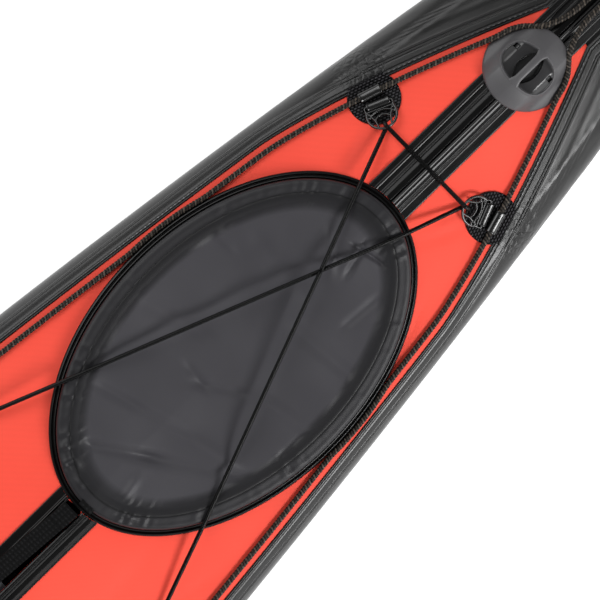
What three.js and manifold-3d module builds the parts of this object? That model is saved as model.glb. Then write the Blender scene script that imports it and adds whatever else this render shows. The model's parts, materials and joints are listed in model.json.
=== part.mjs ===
// Folding kayak: a coated fabric skin over a plug-in tube frame, with an inflatable tube along each side.
// Millimetres, +X to the bow, +Y to port, +Z up. The origin is under the middle of the boat, on the floor.

import * as THREE from 'three';
import { mergeVertices } from 'three/addons/utils/BufferGeometryUtils.js';
import Module from 'manifold-3d';

const wasm = await Module();
wasm.setup();

// Fits
const fit_gap = 0.3;
const running_gap = 0.5;
const overrun = 60;

// Hull form
const hull_length = 5100;
const hull_beam = 640;
const stem_half_width = 7;
const plan_power_share = 1.6;
const side_height = 182;
const sheer_rise = 60;
const bow_lift = 70;
const side_radius = 46;
const side_fade_width = 190;
const deck_crown = 36;
const deck_power_share = 1.3;
const deck_tangent_deg = 75;
const crease_deg = -45;
const keel_flat_width = 80;
const keel_flat_share = 0.4;
const keel_rocker = 22;
const flat_run_share = 0.27;
const stem_start_share = 0.88;
const stem_power_share = 1.8;
const nose_height = 40;
const nose_length = 70;
const deck_shares = [0.3, 0.62, 0.86];
const bottom_shares = [[0.86, 0.43], [0.58, 0.12]];
const arc_count = 4;
const half_station_count = 12;
const end_crowding_share = 0.45;

// Skin
const skin_thickness = 1.2;
const seam_inset = 26;
const seam_taper_start_share = 0.280392;
const seam_taper_start = hull_length * seam_taper_start_share;
const seam_taper_end_share = 0.357255;
const seam_taper_end = hull_length * seam_taper_end_share;
const seam_power_share = 1.4;
const deck_point_half_width = 35;
const closure_slit = 6;
const closure_end_share = 0.456863;
const closure_end = hull_length * closure_end_share;
const keel_strip_width = 60;
const keel_strip_length_share = 0.745098;
const keel_strip_length = hull_length * keel_strip_length_share;
const keel_strip_thickness = 2.5;
const keel_strip_end_width = 36;
const keel_strip_taper = 660;
const keel_strip_steps = 4;

// Hatch
const hatch_x_share = 0.238627;
const hatch_x = hull_length * hatch_x_share;
const hatch_length = 567;
const hatch_width = 364;
const rim_width = 17.5;
const collar_width = 5.5;
const collar_height = 15;
const bead_height = 4.6;
const flange_height = 2.4;
const groove_height = 1.6;
const rim_count = 26;
const cover_thickness = 1.4;
const hem_width = 21;
const cover_sag = 13;
const fold_height = 3.2;
const cover_ring_shares = [0.8, 0.52, 0.24];

// Cockpit
const cockpit_x_share = -0.011765;
const cockpit_x = hull_length * cockpit_x_share;
const cockpit_length = 860;
const cockpit_width = 430;
const cockpit_power_share = 2.3;
const coaming_wall = 4;
const coaming_height = 40;
const coaming_lip = 30;
const coaming_foot = 14;
const coaming_count = 26;

// Closure rails: heights over the deck at shares of the half width, from the outer edge inward
const rail_half_width = 35;
const rail_height = 9.6;
const middle_gap_port = 16;
const middle_gap_starboard = 8;
const port_rail_shares = [
  [1, 0.16], [0.75, 0.19], [0.72, 0.52], [0.66, 0.38], [0.48, 0.42], [0.45, 0.62], [0.38, 0.5], [0.22, 0.62],
  [0.045, 0.56],
];
const starboard_rail_shares = [
  [0.89, 0.16], [0.55, 0.2], [0.5, 0.6], [0.46, 0.42], [0.4, 0.66], [0.34, 0.42], [0.22, 0.5], [0.17, 0.88],
  [0.09, 1], [0.03, 0.86], [0, 0.4],
];
const open_port_shares = [
  [1, 0.16], [0.65, 0.2], [0.62, 0.52], [0.56, 0.56], [0.53, 0.36], [0.5, 0.36], [0.46, 0.6],
];
const open_starboard_shares = [
  [0.94, 0.16], [0.84, 0.2], [0.74, 0.52], [0.55, 0.56], [0.5, 0.38], [0.42, 0.66], [0.36, 0.4], [0.31, 0.6],
  [0.23, 0.4],
];
const rail_envelope_shares = [
  [1.03, 0.25], [0.77, 0.28], [0.73, 0.64], [0.5, 0.72], [0.26, 0.72], [0.2, 0.98], [0.1, 1.06],
];

// Frame
const keel_tube_radius = 14;
const side_tube_radius = 9.5;
const chine_tube_radius = 8;
const ridge_tube_radius = 9.5;
const frame_wall = 1.5;
const gunwale_angle_deg = 145;
const frame_sides_count = 6;
const frame_steps_count = 8;
const frame_end_share = 0.421569;
const frame_end = hull_length * frame_end_share;
const stem_landing = 11;
const rib_shares = { fore_rib: 0.321569, middle_rib: 0.154902, aft_rib: -0.105882, stern_rib: -0.321569 };
const rib_places = Object.fromEntries(Object.entries(rib_shares).map(([name, share]) => [name, share * hull_length]));
const rib_thickness = 12;
const rib_web = 26;
const rib_hole_power_share = 2.6;
const rib_hole_count = 10;
const ridge_fore_start_share = 0.313725;
const ridge_fore_start = hull_length * ridge_fore_start_share;
const ridge_aft_start_share = 0.098039;
const ridge_aft_start = hull_length * ridge_aft_start_share;
const stem_plate_thickness = 16;
const stem_plate_start_share = 0.409804;
const stem_plate_start = hull_length * stem_plate_start_share;
const stem_hole_x_share = 0.438235;
const stem_hole_x = hull_length * stem_hole_x_share;
const stem_hole_z = 165;
const stem_hole_radius = 36;

// Inflatable side tubes and their valves
const air_tube_end_share = 0.403922;
const air_tube_end = hull_length * air_tube_end_share;
const air_tube_wall = 1.2;
const air_tube_sides_count = 10;
const air_core_sides_count = 8;
const air_tube_tip = 60;
const sheer_sag = 3;
const air_tip_share = 0.45;
const valve_x_share = -0.084314;
const valve_x = hull_length * valve_x_share;
const valve_facet_deg = 198;
const valve_barrel_radius = 9;
const valve_barrel_depth = 10;
const valve_flange_radius = 18;
const valve_flange_height = 3;
const valve_neck_radius = 10;
const valve_neck_height = 10;
const valve_bore_radius = 4.5;
const cap_wall = 3;
const cap_skirt = 8;
const round_count = 12;

// Deck fittings
const tow_eye_x_share = 0.342157;
const tow_eye_x = hull_length * tow_eye_x_share;
const tow_eye_radius = 56.5;
const tow_eye_edge = 2;
const tow_eye_dome = 14;
const tow_eye_drape = 11.6;
const drape_flat_share = 0.72;
const drape_end_share = 1.25;
const pocket_length = 54;
const pocket_reach = 37;
const pocket_depth = 15.5;
const bar_width = 9;
const bar_depth = 4.5;
const line_way_radius = 5.5;
const tow_ring_shares = [0.3, 0.6, 0.84, 1];
const tow_eye_count = 18;
const patch_radius = 35;
const patch_thickness = 2;
const sleeve_wall = 1.5;
const sleeve_length = 30;
const patch_shares = { fore: 0.309608, middle: 0.16549 };
const fore_patch = { x: hull_length * patch_shares.fore, y: 109 };
const middle_patch = { x: hull_length * patch_shares.middle, y: 214 };
const ring_width = 38;
const ring_length = 36;
const ring_bar = 4;
const ring_slot = 4.5;
const ring_tilt_deg = 10;
const ring_bar_length = 22;
const fore_ring_ahead = 1.6;
const middle_ring_ahead = 2;
const fore_ring = { x: fore_patch.x + fore_ring_ahead, y: 98.4, heading_deg: 231 };
const middle_ring = { x: middle_patch.x + middle_ring_ahead, y: 200.7, heading_deg: -21 };
const line_anchor_x_share = 0.373529;
const line_anchor_x = hull_length * line_anchor_x_share;
const line_anchor_length = 40;
const line_anchor_width = 34;
const line_anchor_height = 10;

// Centre strap with its buckle
const strap_width = 25;
const strap_thickness = 1.8;
const strap_fold_length = 26;
const socket_x_share = 0.12549;
const socket_x = hull_length * socket_x_share;
const socket_length = 44;
const socket_width = 36;
const socket_height = 12;
const plug_length = 18;
const prong_length = 26;
const prong_width = 6;
const prong_height = 5;
const strap_route_shares = [[0, 0.3], [0.25, 0.85], [0.34, 1], [0.66, 1], [1, 0.3]];
const strap_drift = 18;
const strap_lift_share = 0.56;
const strap_end_clear = 14;
const plug_travel = 30;
const socket_bar = 4;
const prong_wall_clear = 2.5;
const way_floor = 0.8;
const prong_floor = 1.2;

// Seat
const seat_x_share = -0.041176;
const seat_x = hull_length * seat_x_share;
const seat_board_length = 300;
const seat_board_width = 330;
const seat_board_thickness = 8;
const runner_width = 24;
const runner_y = 118;
const ear_height = 36;
const ear_thickness = 10;
const ear_length = 32;
const hinge_inset = 18;
const hinge_radius = 5;
const cushion_length = 236;
const cushion_forward = 10;
const cushion_width = 316;
const cushion_height = 38;
const cushion_draw_share = 0.05;
const cushion_seam_share = 0.42;
const cushion_crown_share = 0.6;
const cushion_grid_count = 6;
const cushion_power_share = 3.2;
const backrest_width = 290;
const backrest_height = 235;
const backrest_thickness = 26;
const backrest_lean_deg = 10;
const backrest_wrap = 26;
const backrest_clear = 26;
const backrest_columns_count = 8;
const backrest_rows_count = 4;
const backrest_taper_share = 0.14;
const lug_reach_share = 0.75;
const lug_rise_share = 0.1;

// Foot rests
const foot_rail_length = 320;
const foot_rail_rib_gap = 30;
const foot_rail_x = rib_places.middle_rib - foot_rail_length / 2 - foot_rail_rib_gap;
const foot_rail_width = 14;
const foot_rail_height = 20;
const foot_rail_inboard = 20;
const foot_rail_rise = 22;
const foot_saddle_length = 34;
const foot_saddle_inset = 20;
const pedal_width = 78;
const pedal_height = 118;
const pedal_thickness = 9;
const pedal_wall = 5;
const pedal_shoe_length = 44;
const pedal_lean = 14;
const pedal_travel = 90;
const pedal_relief_count = 6;

// Cords, at real sizes, points chosen by hand along their routes
const bungee_diameter = 5;
const bungee_sides_count = 6;
const line_diameter = 6;
const line_sides_count = 6;
const cord_facet_allowance = 0.6;
const line_inset = 12;
const line_lift = 4.5;
const line_end_y = 9;
const line_disc_clear = 2.5;
const line_ramp = 12;
const line_fore_shares = [
  0.014706, 0.064706, 0.109804, 0.156078, 0.158431, 0.172549, 0.175098, 0.196078, 0.219608,
  0.238627, 0.247059, 0.254902, 0.262745, 0.280392, 0.300196, 0.302549, 0.316667, 0.31902, 0.329412,
  0.335294, 0.340196, 0.345098, 0.35, 0.353529, 0.357255, 0.361176, 0.364706,
];
const line_fore_places = line_fore_shares.map((share) => share * hull_length);
const line_aft_shares = [
  0.014706, 0.094118, 0.172549, 0.231373, 0.270588, 0.300196, 0.302549, 0.316667, 0.31902, 0.329412,
  0.335294, 0.340196, 0.345098, 0.35, 0.353529, 0.357255, 0.361176, 0.364706,
];
const line_aft_places = line_aft_shares.map((share) => share * hull_length);
const bungee_clear = 1;
const bungee_rest_shares = [0.29098, 0.284706, 0.207451, 0.202353];
const bungee_rest_places = bungee_rest_shares.map((share) => share * hull_length);
const knot_diameter = 11;
const knot_count = 6;

// Finishes
const finishes = {
  black_skin: { color: 0x252526, roughness: 0.5, metalness: 0 },
  red_skin: { color: 0xf5503f, roughness: 0.55, metalness: 0 },
  grey_cover: { color: 0x444247, roughness: 0.55, metalness: 0 },
  rail: { color: 0x1c1c1d, roughness: 0.25, metalness: 0 },
  rubber: { color: 0x3c3b3d, roughness: 0.6, metalness: 0 },
  plastic: { color: 0x1a1a1b, roughness: 0.35, metalness: 0 },
  webbing: { color: 0x161617, roughness: 0.85, metalness: 0 },
  aluminium: { color: 0xb9bcc0, roughness: 0.35, metalness: 1 },
  air_fabric: { color: 0x33363a, roughness: 0.5, metalness: 0 },
  board: { color: 0x2b2d30, roughness: 0.6, metalness: 0 },
  padding: { color: 0x2a2a2d, roughness: 0.9, metalness: 0 },
};

const kayak = new THREE.Group();

// Small helpers

const radians = THREE.MathUtils.degToRad;
const lerp = THREE.MathUtils.lerp;
const point = (x, y, z) => new THREE.Vector3(x, y, z);
const steps = (count) => Array.from({ length: count }, (_, i) => i);
const smooth = (a, b, v) => THREE.MathUtils.smoothstep(v, a, b);

function newell(ring) {
  const normal = point(0, 0, 0);
  ring.forEach((a, i) => {
    const b = ring[(i + 1) % ring.length];
    normal.add(a.clone().cross(b));
  });
  return normal.normalize();
}

// The triangles that fill a flat ring, facing along or against its own turning direction.
function capTriangles(ring, forward) {
  const normal = newell(ring);
  const side = point(1, 0, 0);
  if (Math.abs(normal.x) > Math.abs(normal.y)) side.set(0, 1, 0);
  const u = side.cross(normal).normalize();
  const v = normal.clone().cross(u);
  const flat = ring.map((p) => new THREE.Vector2(p.dot(u), p.dot(v)));
  return THREE.ShapeUtils.triangulateShape(flat, []).map(([a, b, c]) => {
    const ab = flat[b].clone().sub(flat[a]);
    const ac = flat[c].clone().sub(flat[a]);
    const turnsForward = ab.cross(ac) > 0;
    return turnsForward === forward ? [a, b, c] : [a, c, b];
  });
}

// One closed body through rings of equal count. A looped loft joins the last ring to the first.
function loft(rings, looped = false) {
  const size = rings[0].length;
  const index = [];
  const spans = looped ? rings.length : rings.length - 1;
  for (const i of steps(spans)) {
    const next = (i + 1) % rings.length;
    for (const j of steps(size)) {
      const k = (j + 1) % size;
      index.push(i * size + j, next * size + j, next * size + k);
      index.push(i * size + j, next * size + k, i * size + k);
    }
  }
  if (!looped) {
    const last = (rings.length - 1) * size;
    capTriangles(rings[0], true).forEach((t) => index.push(...t));
    capTriangles(rings[rings.length - 1], false).forEach((t) => index.push(...t.map((n) => n + last)));
  }
  const geometry = new THREE.BufferGeometry();
  const positions = rings.flat().flatMap((p) => [p.x, p.y, p.z]);
  geometry.setAttribute('position', new THREE.Float32BufferAttribute(positions, 3));
  geometry.setIndex(index);
  return outward(geometry);
}

// Turns every face over when a closed body encloses a negative volume.
function outward(geometry) {
  const position = geometry.getAttribute('position');
  const index = geometry.index.array;
  const [a, b, c] = [point(0, 0, 0), point(0, 0, 0), point(0, 0, 0)];
  let volume = 0;
  for (let i = 0; i < index.length; i += 3) {
    a.fromBufferAttribute(position, index[i]);
    b.fromBufferAttribute(position, index[i + 1]);
    c.fromBufferAttribute(position, index[i + 2]);
    volume += a.dot(b.cross(c));
  }
  if (volume < 0) {
    for (let i = 0; i < index.length; i += 3) [index[i + 1], index[i + 2]] = [index[i + 2], index[i + 1]];
  }
  return geometry;
}

// A solid for cutting and joining, from a closed geometry whose shared corners are merged.
function solidOf(geometry) {
  const bare = geometry.clone();
  bare.deleteAttribute('normal');
  bare.deleteAttribute('uv');
  const merged = mergeVertices(bare);
  return new wasm.Manifold(new wasm.Mesh({
    numProp: 3,
    vertProperties: new Float32Array(merged.getAttribute('position').array),
    triVerts: new Uint32Array(merged.index.array),
  }));
}

function geometryOf(solid) {
  const { vertProperties, triVerts } = solid.getMesh();
  const geometry = new THREE.BufferGeometry();
  geometry.setAttribute('position', new THREE.BufferAttribute(new Float32Array(vertProperties), 3));
  geometry.setIndex(new THREE.BufferAttribute(new Uint32Array(triVerts), 1));
  return geometry;
}

function add(name, finish, solid) {
  const geometry = solid.isBufferGeometry ? solid : geometryOf(solid);
  geometry.computeVertexNormals();
  const mesh = new THREE.Mesh(geometry, new THREE.MeshStandardMaterial(finishes[finish]));
  mesh.name = name;
  kayak.add(mesh);
  return mesh;
}

// A box between two corners.
function box(x0, x1, y0, y1, z0, z1) {
  const geometry = new THREE.BoxGeometry(x1 - x0, y1 - y0, z1 - z0);
  geometry.translate((x0 + x1) / 2, (y0 + y1) / 2, (z0 + z1) / 2);
  return solidOf(geometry);
}

// A plan outline carried straight up from one height to another.
function prism(outline, z0, z1) {
  const shape = new THREE.Shape(outline.map(([x, y]) => new THREE.Vector2(x, y)));
  const geometry = new THREE.ExtrudeGeometry(shape, { depth: z1 - z0, bevelEnabled: false });
  geometry.translate(0, 0, z0);
  return solidOf(geometry);
}

function cylinder(radius, length, count) {
  return new THREE.CylinderGeometry(radius, radius, length, count);
}

// A cylinder whose axis runs along a direction, centred on a place.
function rod(place, direction, radius, length, count) {
  const geometry = cylinder(radius, length, count);
  const turn = new THREE.Quaternion().setFromUnitVectors(point(0, 1, 0), direction.clone().normalize());
  geometry.applyQuaternion(turn);
  geometry.translate(place.x, place.y, place.z);
  return solidOf(geometry);
}

const mirrored = (solid) => solid.mirror([0, 1, 0]);

// Hull form: plan, profile and section

const half_length = hull_length / 2;
const shareFromMiddle = (x) => Math.abs(x) / half_length;
const halfBeam = (x) =>
  stem_half_width + (hull_beam / 2 - stem_half_width) * (1 - shareFromMiddle(x) ** plan_power_share);
const sideRadius = (x) => {
  const fade = Math.min(1, halfBeam(x) / side_fade_width);
  return side_radius * (1 - (1 - fade) ** 2);
};
const sheerHeight = (x) =>
  side_height + sheer_rise * shareFromMiddle(x) ** 2 + bow_lift * shareFromMiddle(x) ** 6;
const ridgeHeight = (x) =>
  sheerHeight(x) + sideRadius(x) * Math.sin(radians(deck_tangent_deg)) + deck_crown * (1 - shareFromMiddle(x) ** 3);
const keel_base = keel_strip_thickness + fit_gap;

function keelHeight(x) {
  const share = shareFromMiddle(x);
  const bend = Math.max(0, (share - flat_run_share) / (1 - flat_run_share)) ** 2;
  const rise = Math.max(0, (share - stem_start_share) / (1 - stem_start_share)) ** stem_power_share;
  const stem_rise = ridgeHeight(half_length) - nose_height - keel_rocker - keel_base;
  return keel_base + keel_rocker * bend + stem_rise * rise;
}

// Half of a section from the ridge to the keel, as [y, z] corners of the outer surface.
function halfSection(x) {
  const radius = sideRadius(x);
  const centre = halfBeam(x) - radius;
  const height = sheerHeight(x);
  const ridge = ridgeHeight(x);
  const keel = keelHeight(x);
  const arc = steps(arc_count + 1).map((i) => {
    const angle = radians(lerp(deck_tangent_deg, crease_deg, i / arc_count));
    return [centre + radius * Math.cos(angle), height + radius * Math.sin(angle)];
  });
  const edge = arc[0];
  const foot = arc[arc_count];
  const deck = deck_shares.map((share) =>
    [edge[0] * share, ridge - (ridge - edge[1]) * share ** deck_power_share]);
  const flat = Math.min(keel_flat_width / 2, halfBeam(x) * keel_flat_share);
  const bottom = bottom_shares.map(([out, up]) => [lerp(flat, foot[0], out), lerp(keel, foot[1], up)]);
  return [[0, ridge], ...deck, ...arc, ...bottom, [flat, keel]];
}

// The whole section, moved outward by an offset measured square to each side.
function offsetSection(x, offset) {
  const half = halfSection(x);
  const loop = [...half, ...half.slice(1).reverse().map(([y, z]) => [-y, z])];
  const count = loop.length;
  return loop.map(([y, z], i) => {
    const [py, pz] = loop[(i + count - 1) % count];
    const [ny, nz] = loop[(i + 1) % count];
    const before = new THREE.Vector2(pz - z, y - py).normalize();
    const after = new THREE.Vector2(z - nz, ny - y).normalize();
    const mid = before.clone().add(after).normalize();
    const reach = offset / mid.dot(before);
    return [y + mid.x * reach, z + mid.y * reach];
  });
}

const stations = steps(2 * half_station_count + 1).map((i) => {
  const share = i / half_station_count - 1;
  const crowded = Math.sin(share * Math.PI / 2);
  return half_length * lerp(share, crowded, end_crowding_share);
});

// The faceted section at any x: straight between the two stations beside it.
const sectionCache = new Map();
function stationSection(i, offset) {
  const key = `${i}:${offset}`;
  if (!sectionCache.has(key)) sectionCache.set(key, offsetSection(stations[i], offset));
  return sectionCache.get(key);
}

function section(x, offset = 0) {
  let i = stations.findIndex((s) => s > x) - 1;
  if (i < 0) i = x <= stations[0] ? 0 : stations.length - 2;
  const share = THREE.MathUtils.clamp((x - stations[i]) / (stations[i + 1] - stations[i]), 0, 1);
  const a = stationSection(i, offset);
  const b = stationSection(i + 1, offset);
  return a.map(([y, z], j) => [lerp(y, b[j][0], share), lerp(z, b[j][1], share)]);
}

const ringAt = (x, offset) => section(x, offset).map(([y, z]) => point(x, y, z));

// Stations between two places, with both ends, leaving out any that crowds an end.
function places(x0, x1) {
  const close = (x1 - x0) / (4 * half_station_count);
  return [x0, ...stations.filter((x) => x > x0 + close && x < x1 - close), x1];
}

// The closed hull form at an offset from the outer surface.
const hullForm = (offset, x0 = -half_length, x1 = half_length) =>
  solidOf(loft(places(x0, x1).map((x) => ringAt(x, offset))));

// Height of the deck's facets over a place in the plan.
function deckZ(x, y) {
  const side = section(x).slice(0, deck_shares.length + arc_count - 1);
  const out = Math.abs(y);
  const i = Math.max(0, side.findIndex(([sy]) => sy >= out) - 1);
  const [y0, z0] = side[i];
  const [y1, z1] = side[i + 1];
  return lerp(z0, z1, (out - y0) / (y1 - y0));
}

const outer_form = hullForm(0);
const inner_form = hullForm(-skin_thickness, -half_length + nose_length, half_length - nose_length);
const over_skin = hullForm(fit_gap);
const inside_skin = hullForm(-skin_thickness - fit_gap, -half_length + nose_length, half_length - nose_length);
const deep = -overrun;
const high = ridgeHeight(half_length) + 2 * overrun;
const mid_height = side_height;

// Rests a raw piece on the skin by cutting away what reaches below the skin's surface.
const seated = (raw) => raw.subtract(over_skin);

// A sheet of even thickness laid on the skin inside a plan outline.
const sheetOver = (outline, thickness) =>
  outline.intersect(hullForm(fit_gap + thickness)).subtract(over_skin);

// Skin: hull, deck panels and keel strip

function deckEdge(x) {
  const away = Math.abs(x);
  const share = Math.max(0, (away - seam_taper_start) / (seam_taper_end - seam_taper_start));
  const narrowing = halfBeam(seam_taper_end) - seam_inset - deck_point_half_width;
  return halfBeam(x) - seam_inset - narrowing * share ** seam_power_share;
}

function deckPlan(clearance) {
  const end = seam_taper_end + clearance;
  const count = 2 * half_station_count - 2;
  const xs = steps(count + 1).map((i) => lerp(-end, end, i / count));
  const port = xs.map((x) => [x, deckEdge(x) + clearance]);
  const starboard = xs.map((x) => [x, -deckEdge(x) - clearance]).reverse();
  return prism([...port, ...starboard], mid_height, high);
}

// Plan outline of a rounded opening: an ellipse raised to a power, grown by a margin.
function ovalPoint(oval, angle, margin) {
  const a = oval.length / 2 + margin;
  const b = oval.width / 2 + margin;
  const power = 2 / oval.power;
  const c = Math.cos(angle);
  const s = Math.sin(angle);
  return [oval.x + a * Math.sign(c) * Math.abs(c) ** power, b * Math.sign(s) * Math.abs(s) ** power];
}

const ovalOutline = (oval, margin, count) =>
  steps(count).map((i) => ovalPoint(oval, 2 * Math.PI * i / count, margin));

const hatch = { x: hatch_x, length: hatch_length, width: hatch_width, power: 2 };
const cockpit = { x: cockpit_x, length: cockpit_length, width: cockpit_width, power: cockpit_power_share };
const hatch_front = hatch_x + hatch_length / 2;
const hatch_back = hatch_x - hatch_length / 2;
const cockpit_front = cockpit_x + cockpit_length / 2;
const cockpit_back = cockpit_x - cockpit_length / 2;

function makeSkin() {
  const shell = outer_form.subtract(inner_form);
  const slit = box(-closure_end, closure_end, -closure_slit / 2, closure_slit / 2, mid_height, high);
  const middle_slit = box(cockpit_front, hatch_back, -middle_gap_starboard, middle_gap_port, mid_height, high);
  add('hull_skin', 'black_skin', shell.subtract(deckPlan(fit_gap / 2)).subtract(slit));

  const hatch_hole = prism(ovalOutline(hatch, -rim_width, rim_count), mid_height, high);
  const cockpit_hole = prism(ovalOutline(cockpit, 0, coaming_count), mid_height, high);
  const deck = shell.intersect(deckPlan(-fit_gap / 2)).subtract(slit).subtract(middle_slit)
    .subtract(hatch_hole).subtract(cockpit_hole);
  const port_half = box(-half_length, half_length, 0, hull_beam, 0, high);
  const starboard_half = box(-half_length, half_length, -hull_beam, 0, 0, high);
  add('left_deck_panel', 'red_skin', deck.intersect(port_half));
  add('right_deck_panel', 'red_skin', deck.intersect(starboard_half));

  const end = keel_strip_length / 2;
  const slimmest = keel_strip_end_width / 2;
  const swelling = (keel_strip_width - keel_strip_end_width) / 2;
  const side = steps(2 * keel_strip_steps + 1).map((i) => {
    const share = i / keel_strip_steps - 1;
    return [share * keel_strip_taper, slimmest + swelling * (1 - share ** 2)];
  });
  const port_side = [[-end, slimmest / 2], [-end + slimmest, slimmest], ...side,
    [end - slimmest, slimmest], [end, slimmest / 2]];
  const starboard_side = port_side.map(([x, y]) => [x, -y]);
  const strip = prism([...starboard_side, ...port_side.reverse()], deep, mid_height);
  add('keel_strip', 'rubber', sheetOver(strip, keel_strip_thickness));
}

// Inflatable side tubes with their valves and caps

const airRadius = (x) =>
  (sideRadius(x) - skin_thickness) * Math.cos(radians((deck_tangent_deg - crease_deg) / arc_count / 2)) - fit_gap;

function airForm(shrink, coarse = false) {
  const end = air_tube_end;
  const sides = coarse ? air_core_sides_count : air_tube_sides_count;
  const all = places(-end, end);
  const xs = coarse ? all.filter((_, i) => i % 2 === 0) : all;
  const ring = (x, place, size) => steps(sides).map((i) => {
    const angle = 2 * Math.PI * i / sides;
    const centre = halfBeam(x) - sideRadius(x);
    return point(place, centre + size * Math.cos(angle), sheerHeight(x) + size * Math.sin(angle));
  });
  const body = xs.map((x) => ring(x, x, airRadius(x) - shrink));
  const tip = air_tube_tip - shrink;
  const close = (airRadius(end) - shrink) * air_tip_share;
  return solidOf(loft([ring(-end, -end - tip, close), ...body, ring(end, end + tip, close)]));
}

// The station next to a place, toward the bow or the stern.
function airStation(x, ahead) {
  return ahead ? stations.find((s) => s > x) : stations.filter((s) => s <= x).pop();
}

// Place and direction of the port valve, on the inboard facet of the tube.
function valveFrame() {
  const angle = radians(valve_facet_deg);
  const axis = (x) => point(x, halfBeam(x) - sideRadius(x), sheerHeight(x));
  const [before, after] = [airStation(valve_x, false), airStation(valve_x, true)];
  const tangent = axis(after).sub(axis(before)).normalize();
  const direction = point(0, Math.cos(angle), Math.sin(angle));
  direction.addScaledVector(tangent, -direction.dot(tangent)).normalize();
  const reach = airRadius(valve_x) * Math.cos(Math.PI / air_tube_sides_count);
  const centre = axis(before).lerp(axis(after), (valve_x - before) / (after - before));
  return { direction, place: centre.addScaledVector(direction, reach) };
}

function turned(profile) {
  const points = profile.map(([r, h]) => new THREE.Vector2(r, h));
  const geometry = new THREE.LatheGeometry([...points, points[0]], round_count);
  const { direction, place } = valveFrame();
  geometry.applyQuaternion(new THREE.Quaternion().setFromUnitVectors(point(0, 1, 0), direction));
  geometry.translate(place.x, place.y, place.z);
  return solidOf(outwardMerged(geometry));
}

function outwardMerged(geometry) {
  geometry.deleteAttribute('normal');
  geometry.deleteAttribute('uv');
  return outward(mergeVertices(geometry));
}

function makeSideTubes() {
  const { direction, place } = valveFrame();
  const port = rod(place, direction, valve_barrel_radius + running_gap, 2 * valve_barrel_depth, round_count);
  const core = airForm(air_tube_wall + sheer_sag, true);
  const tube = airForm(0).subtract(core).subtract(port);
  const neck_top = valve_flange_height + valve_neck_height;
  const valve = turned([
    [valve_bore_radius, -valve_barrel_depth], [valve_barrel_radius, -valve_barrel_depth],
    [valve_barrel_radius, fit_gap], [valve_flange_radius, fit_gap],
    [valve_flange_radius, valve_flange_height], [valve_neck_radius, valve_flange_height],
    [valve_neck_radius, neck_top], [valve_bore_radius, neck_top],
  ]);
  const cap_radius = valve_neck_radius + running_gap;
  const cap = turned([
    [0, neck_top + fit_gap], [cap_radius, neck_top + fit_gap], [cap_radius, neck_top - cap_skirt],
    [cap_radius + cap_wall, neck_top - cap_skirt], [cap_radius + cap_wall, neck_top + cap_wall],
    [0, neck_top + cap_wall],
  ]);
  for (const [side, turn] of [['left', (s) => s], ['right', mirrored]]) {
    add(`${side}_air_tube`, 'air_fabric', turn(tube));
    add(`${side}_air_valve`, 'plastic', turn(valve));
    add(`${side}_valve_cap`, 'plastic', turn(cap));
  }
}

// Closure rails along the deck's centreline

function railForm(shares, side, x0, x1) {
  return solidOf(loft(places(x0, x1).map((x) => {
    const top = shares.map(([out, up]) => {
      const y = side * out * rail_half_width;
      return point(x, y, deckZ(x, y) + up * rail_height);
    });
    const [first, last] = [shares[0][0], shares[shares.length - 1][0]];
    const ends = [last, first].map((out) => {
      const y = side * out * rail_half_width;
      return point(x, y, deckZ(x, y) - rail_height);
    });
    return [...top, ...ends];
  })));
}

function makeClosures() {
  const hatch_clear = prism(ovalOutline(hatch, fit_gap, rim_count), mid_height, high);
  const cockpit_clear = prism(
    ovalOutline(cockpit, coaming_wall + coaming_foot + fit_gap, coaming_count), mid_height, high);
  const fitted = (raw) => seated(raw).subtract(hatch_clear).subtract(cockpit_clear);
  const runs = [
    ['fore', port_rail_shares, starboard_rail_shares, hatch_front - rail_half_width, closure_end],
    ['middle', open_port_shares, open_starboard_shares, cockpit_front, hatch_back + rail_half_width],
    ['aft', port_rail_shares, starboard_rail_shares, -closure_end, cockpit_back + rail_half_width],
  ];
  for (const [name, port, starboard, x0, x1] of runs) {
    add(`${name}_closure_left_rail`, 'rail', fitted(railForm(port, 1, x0, x1)));
    add(`${name}_closure_right_rail`, 'rail', fitted(railForm(starboard, -1, x0, x1)));
  }
}

// Hatch: oval rim with its hoop, and the fabric cover stretched over it

// A point over the deck, measured inward from the hatch's outer edge.
function rimPoint(angle, inward, height) {
  const [x, y] = ovalPoint(hatch, angle, -inward);
  return point(x, y, deckZ(x, y) + height);
}

const collar_start = rim_width - collar_width;

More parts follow.
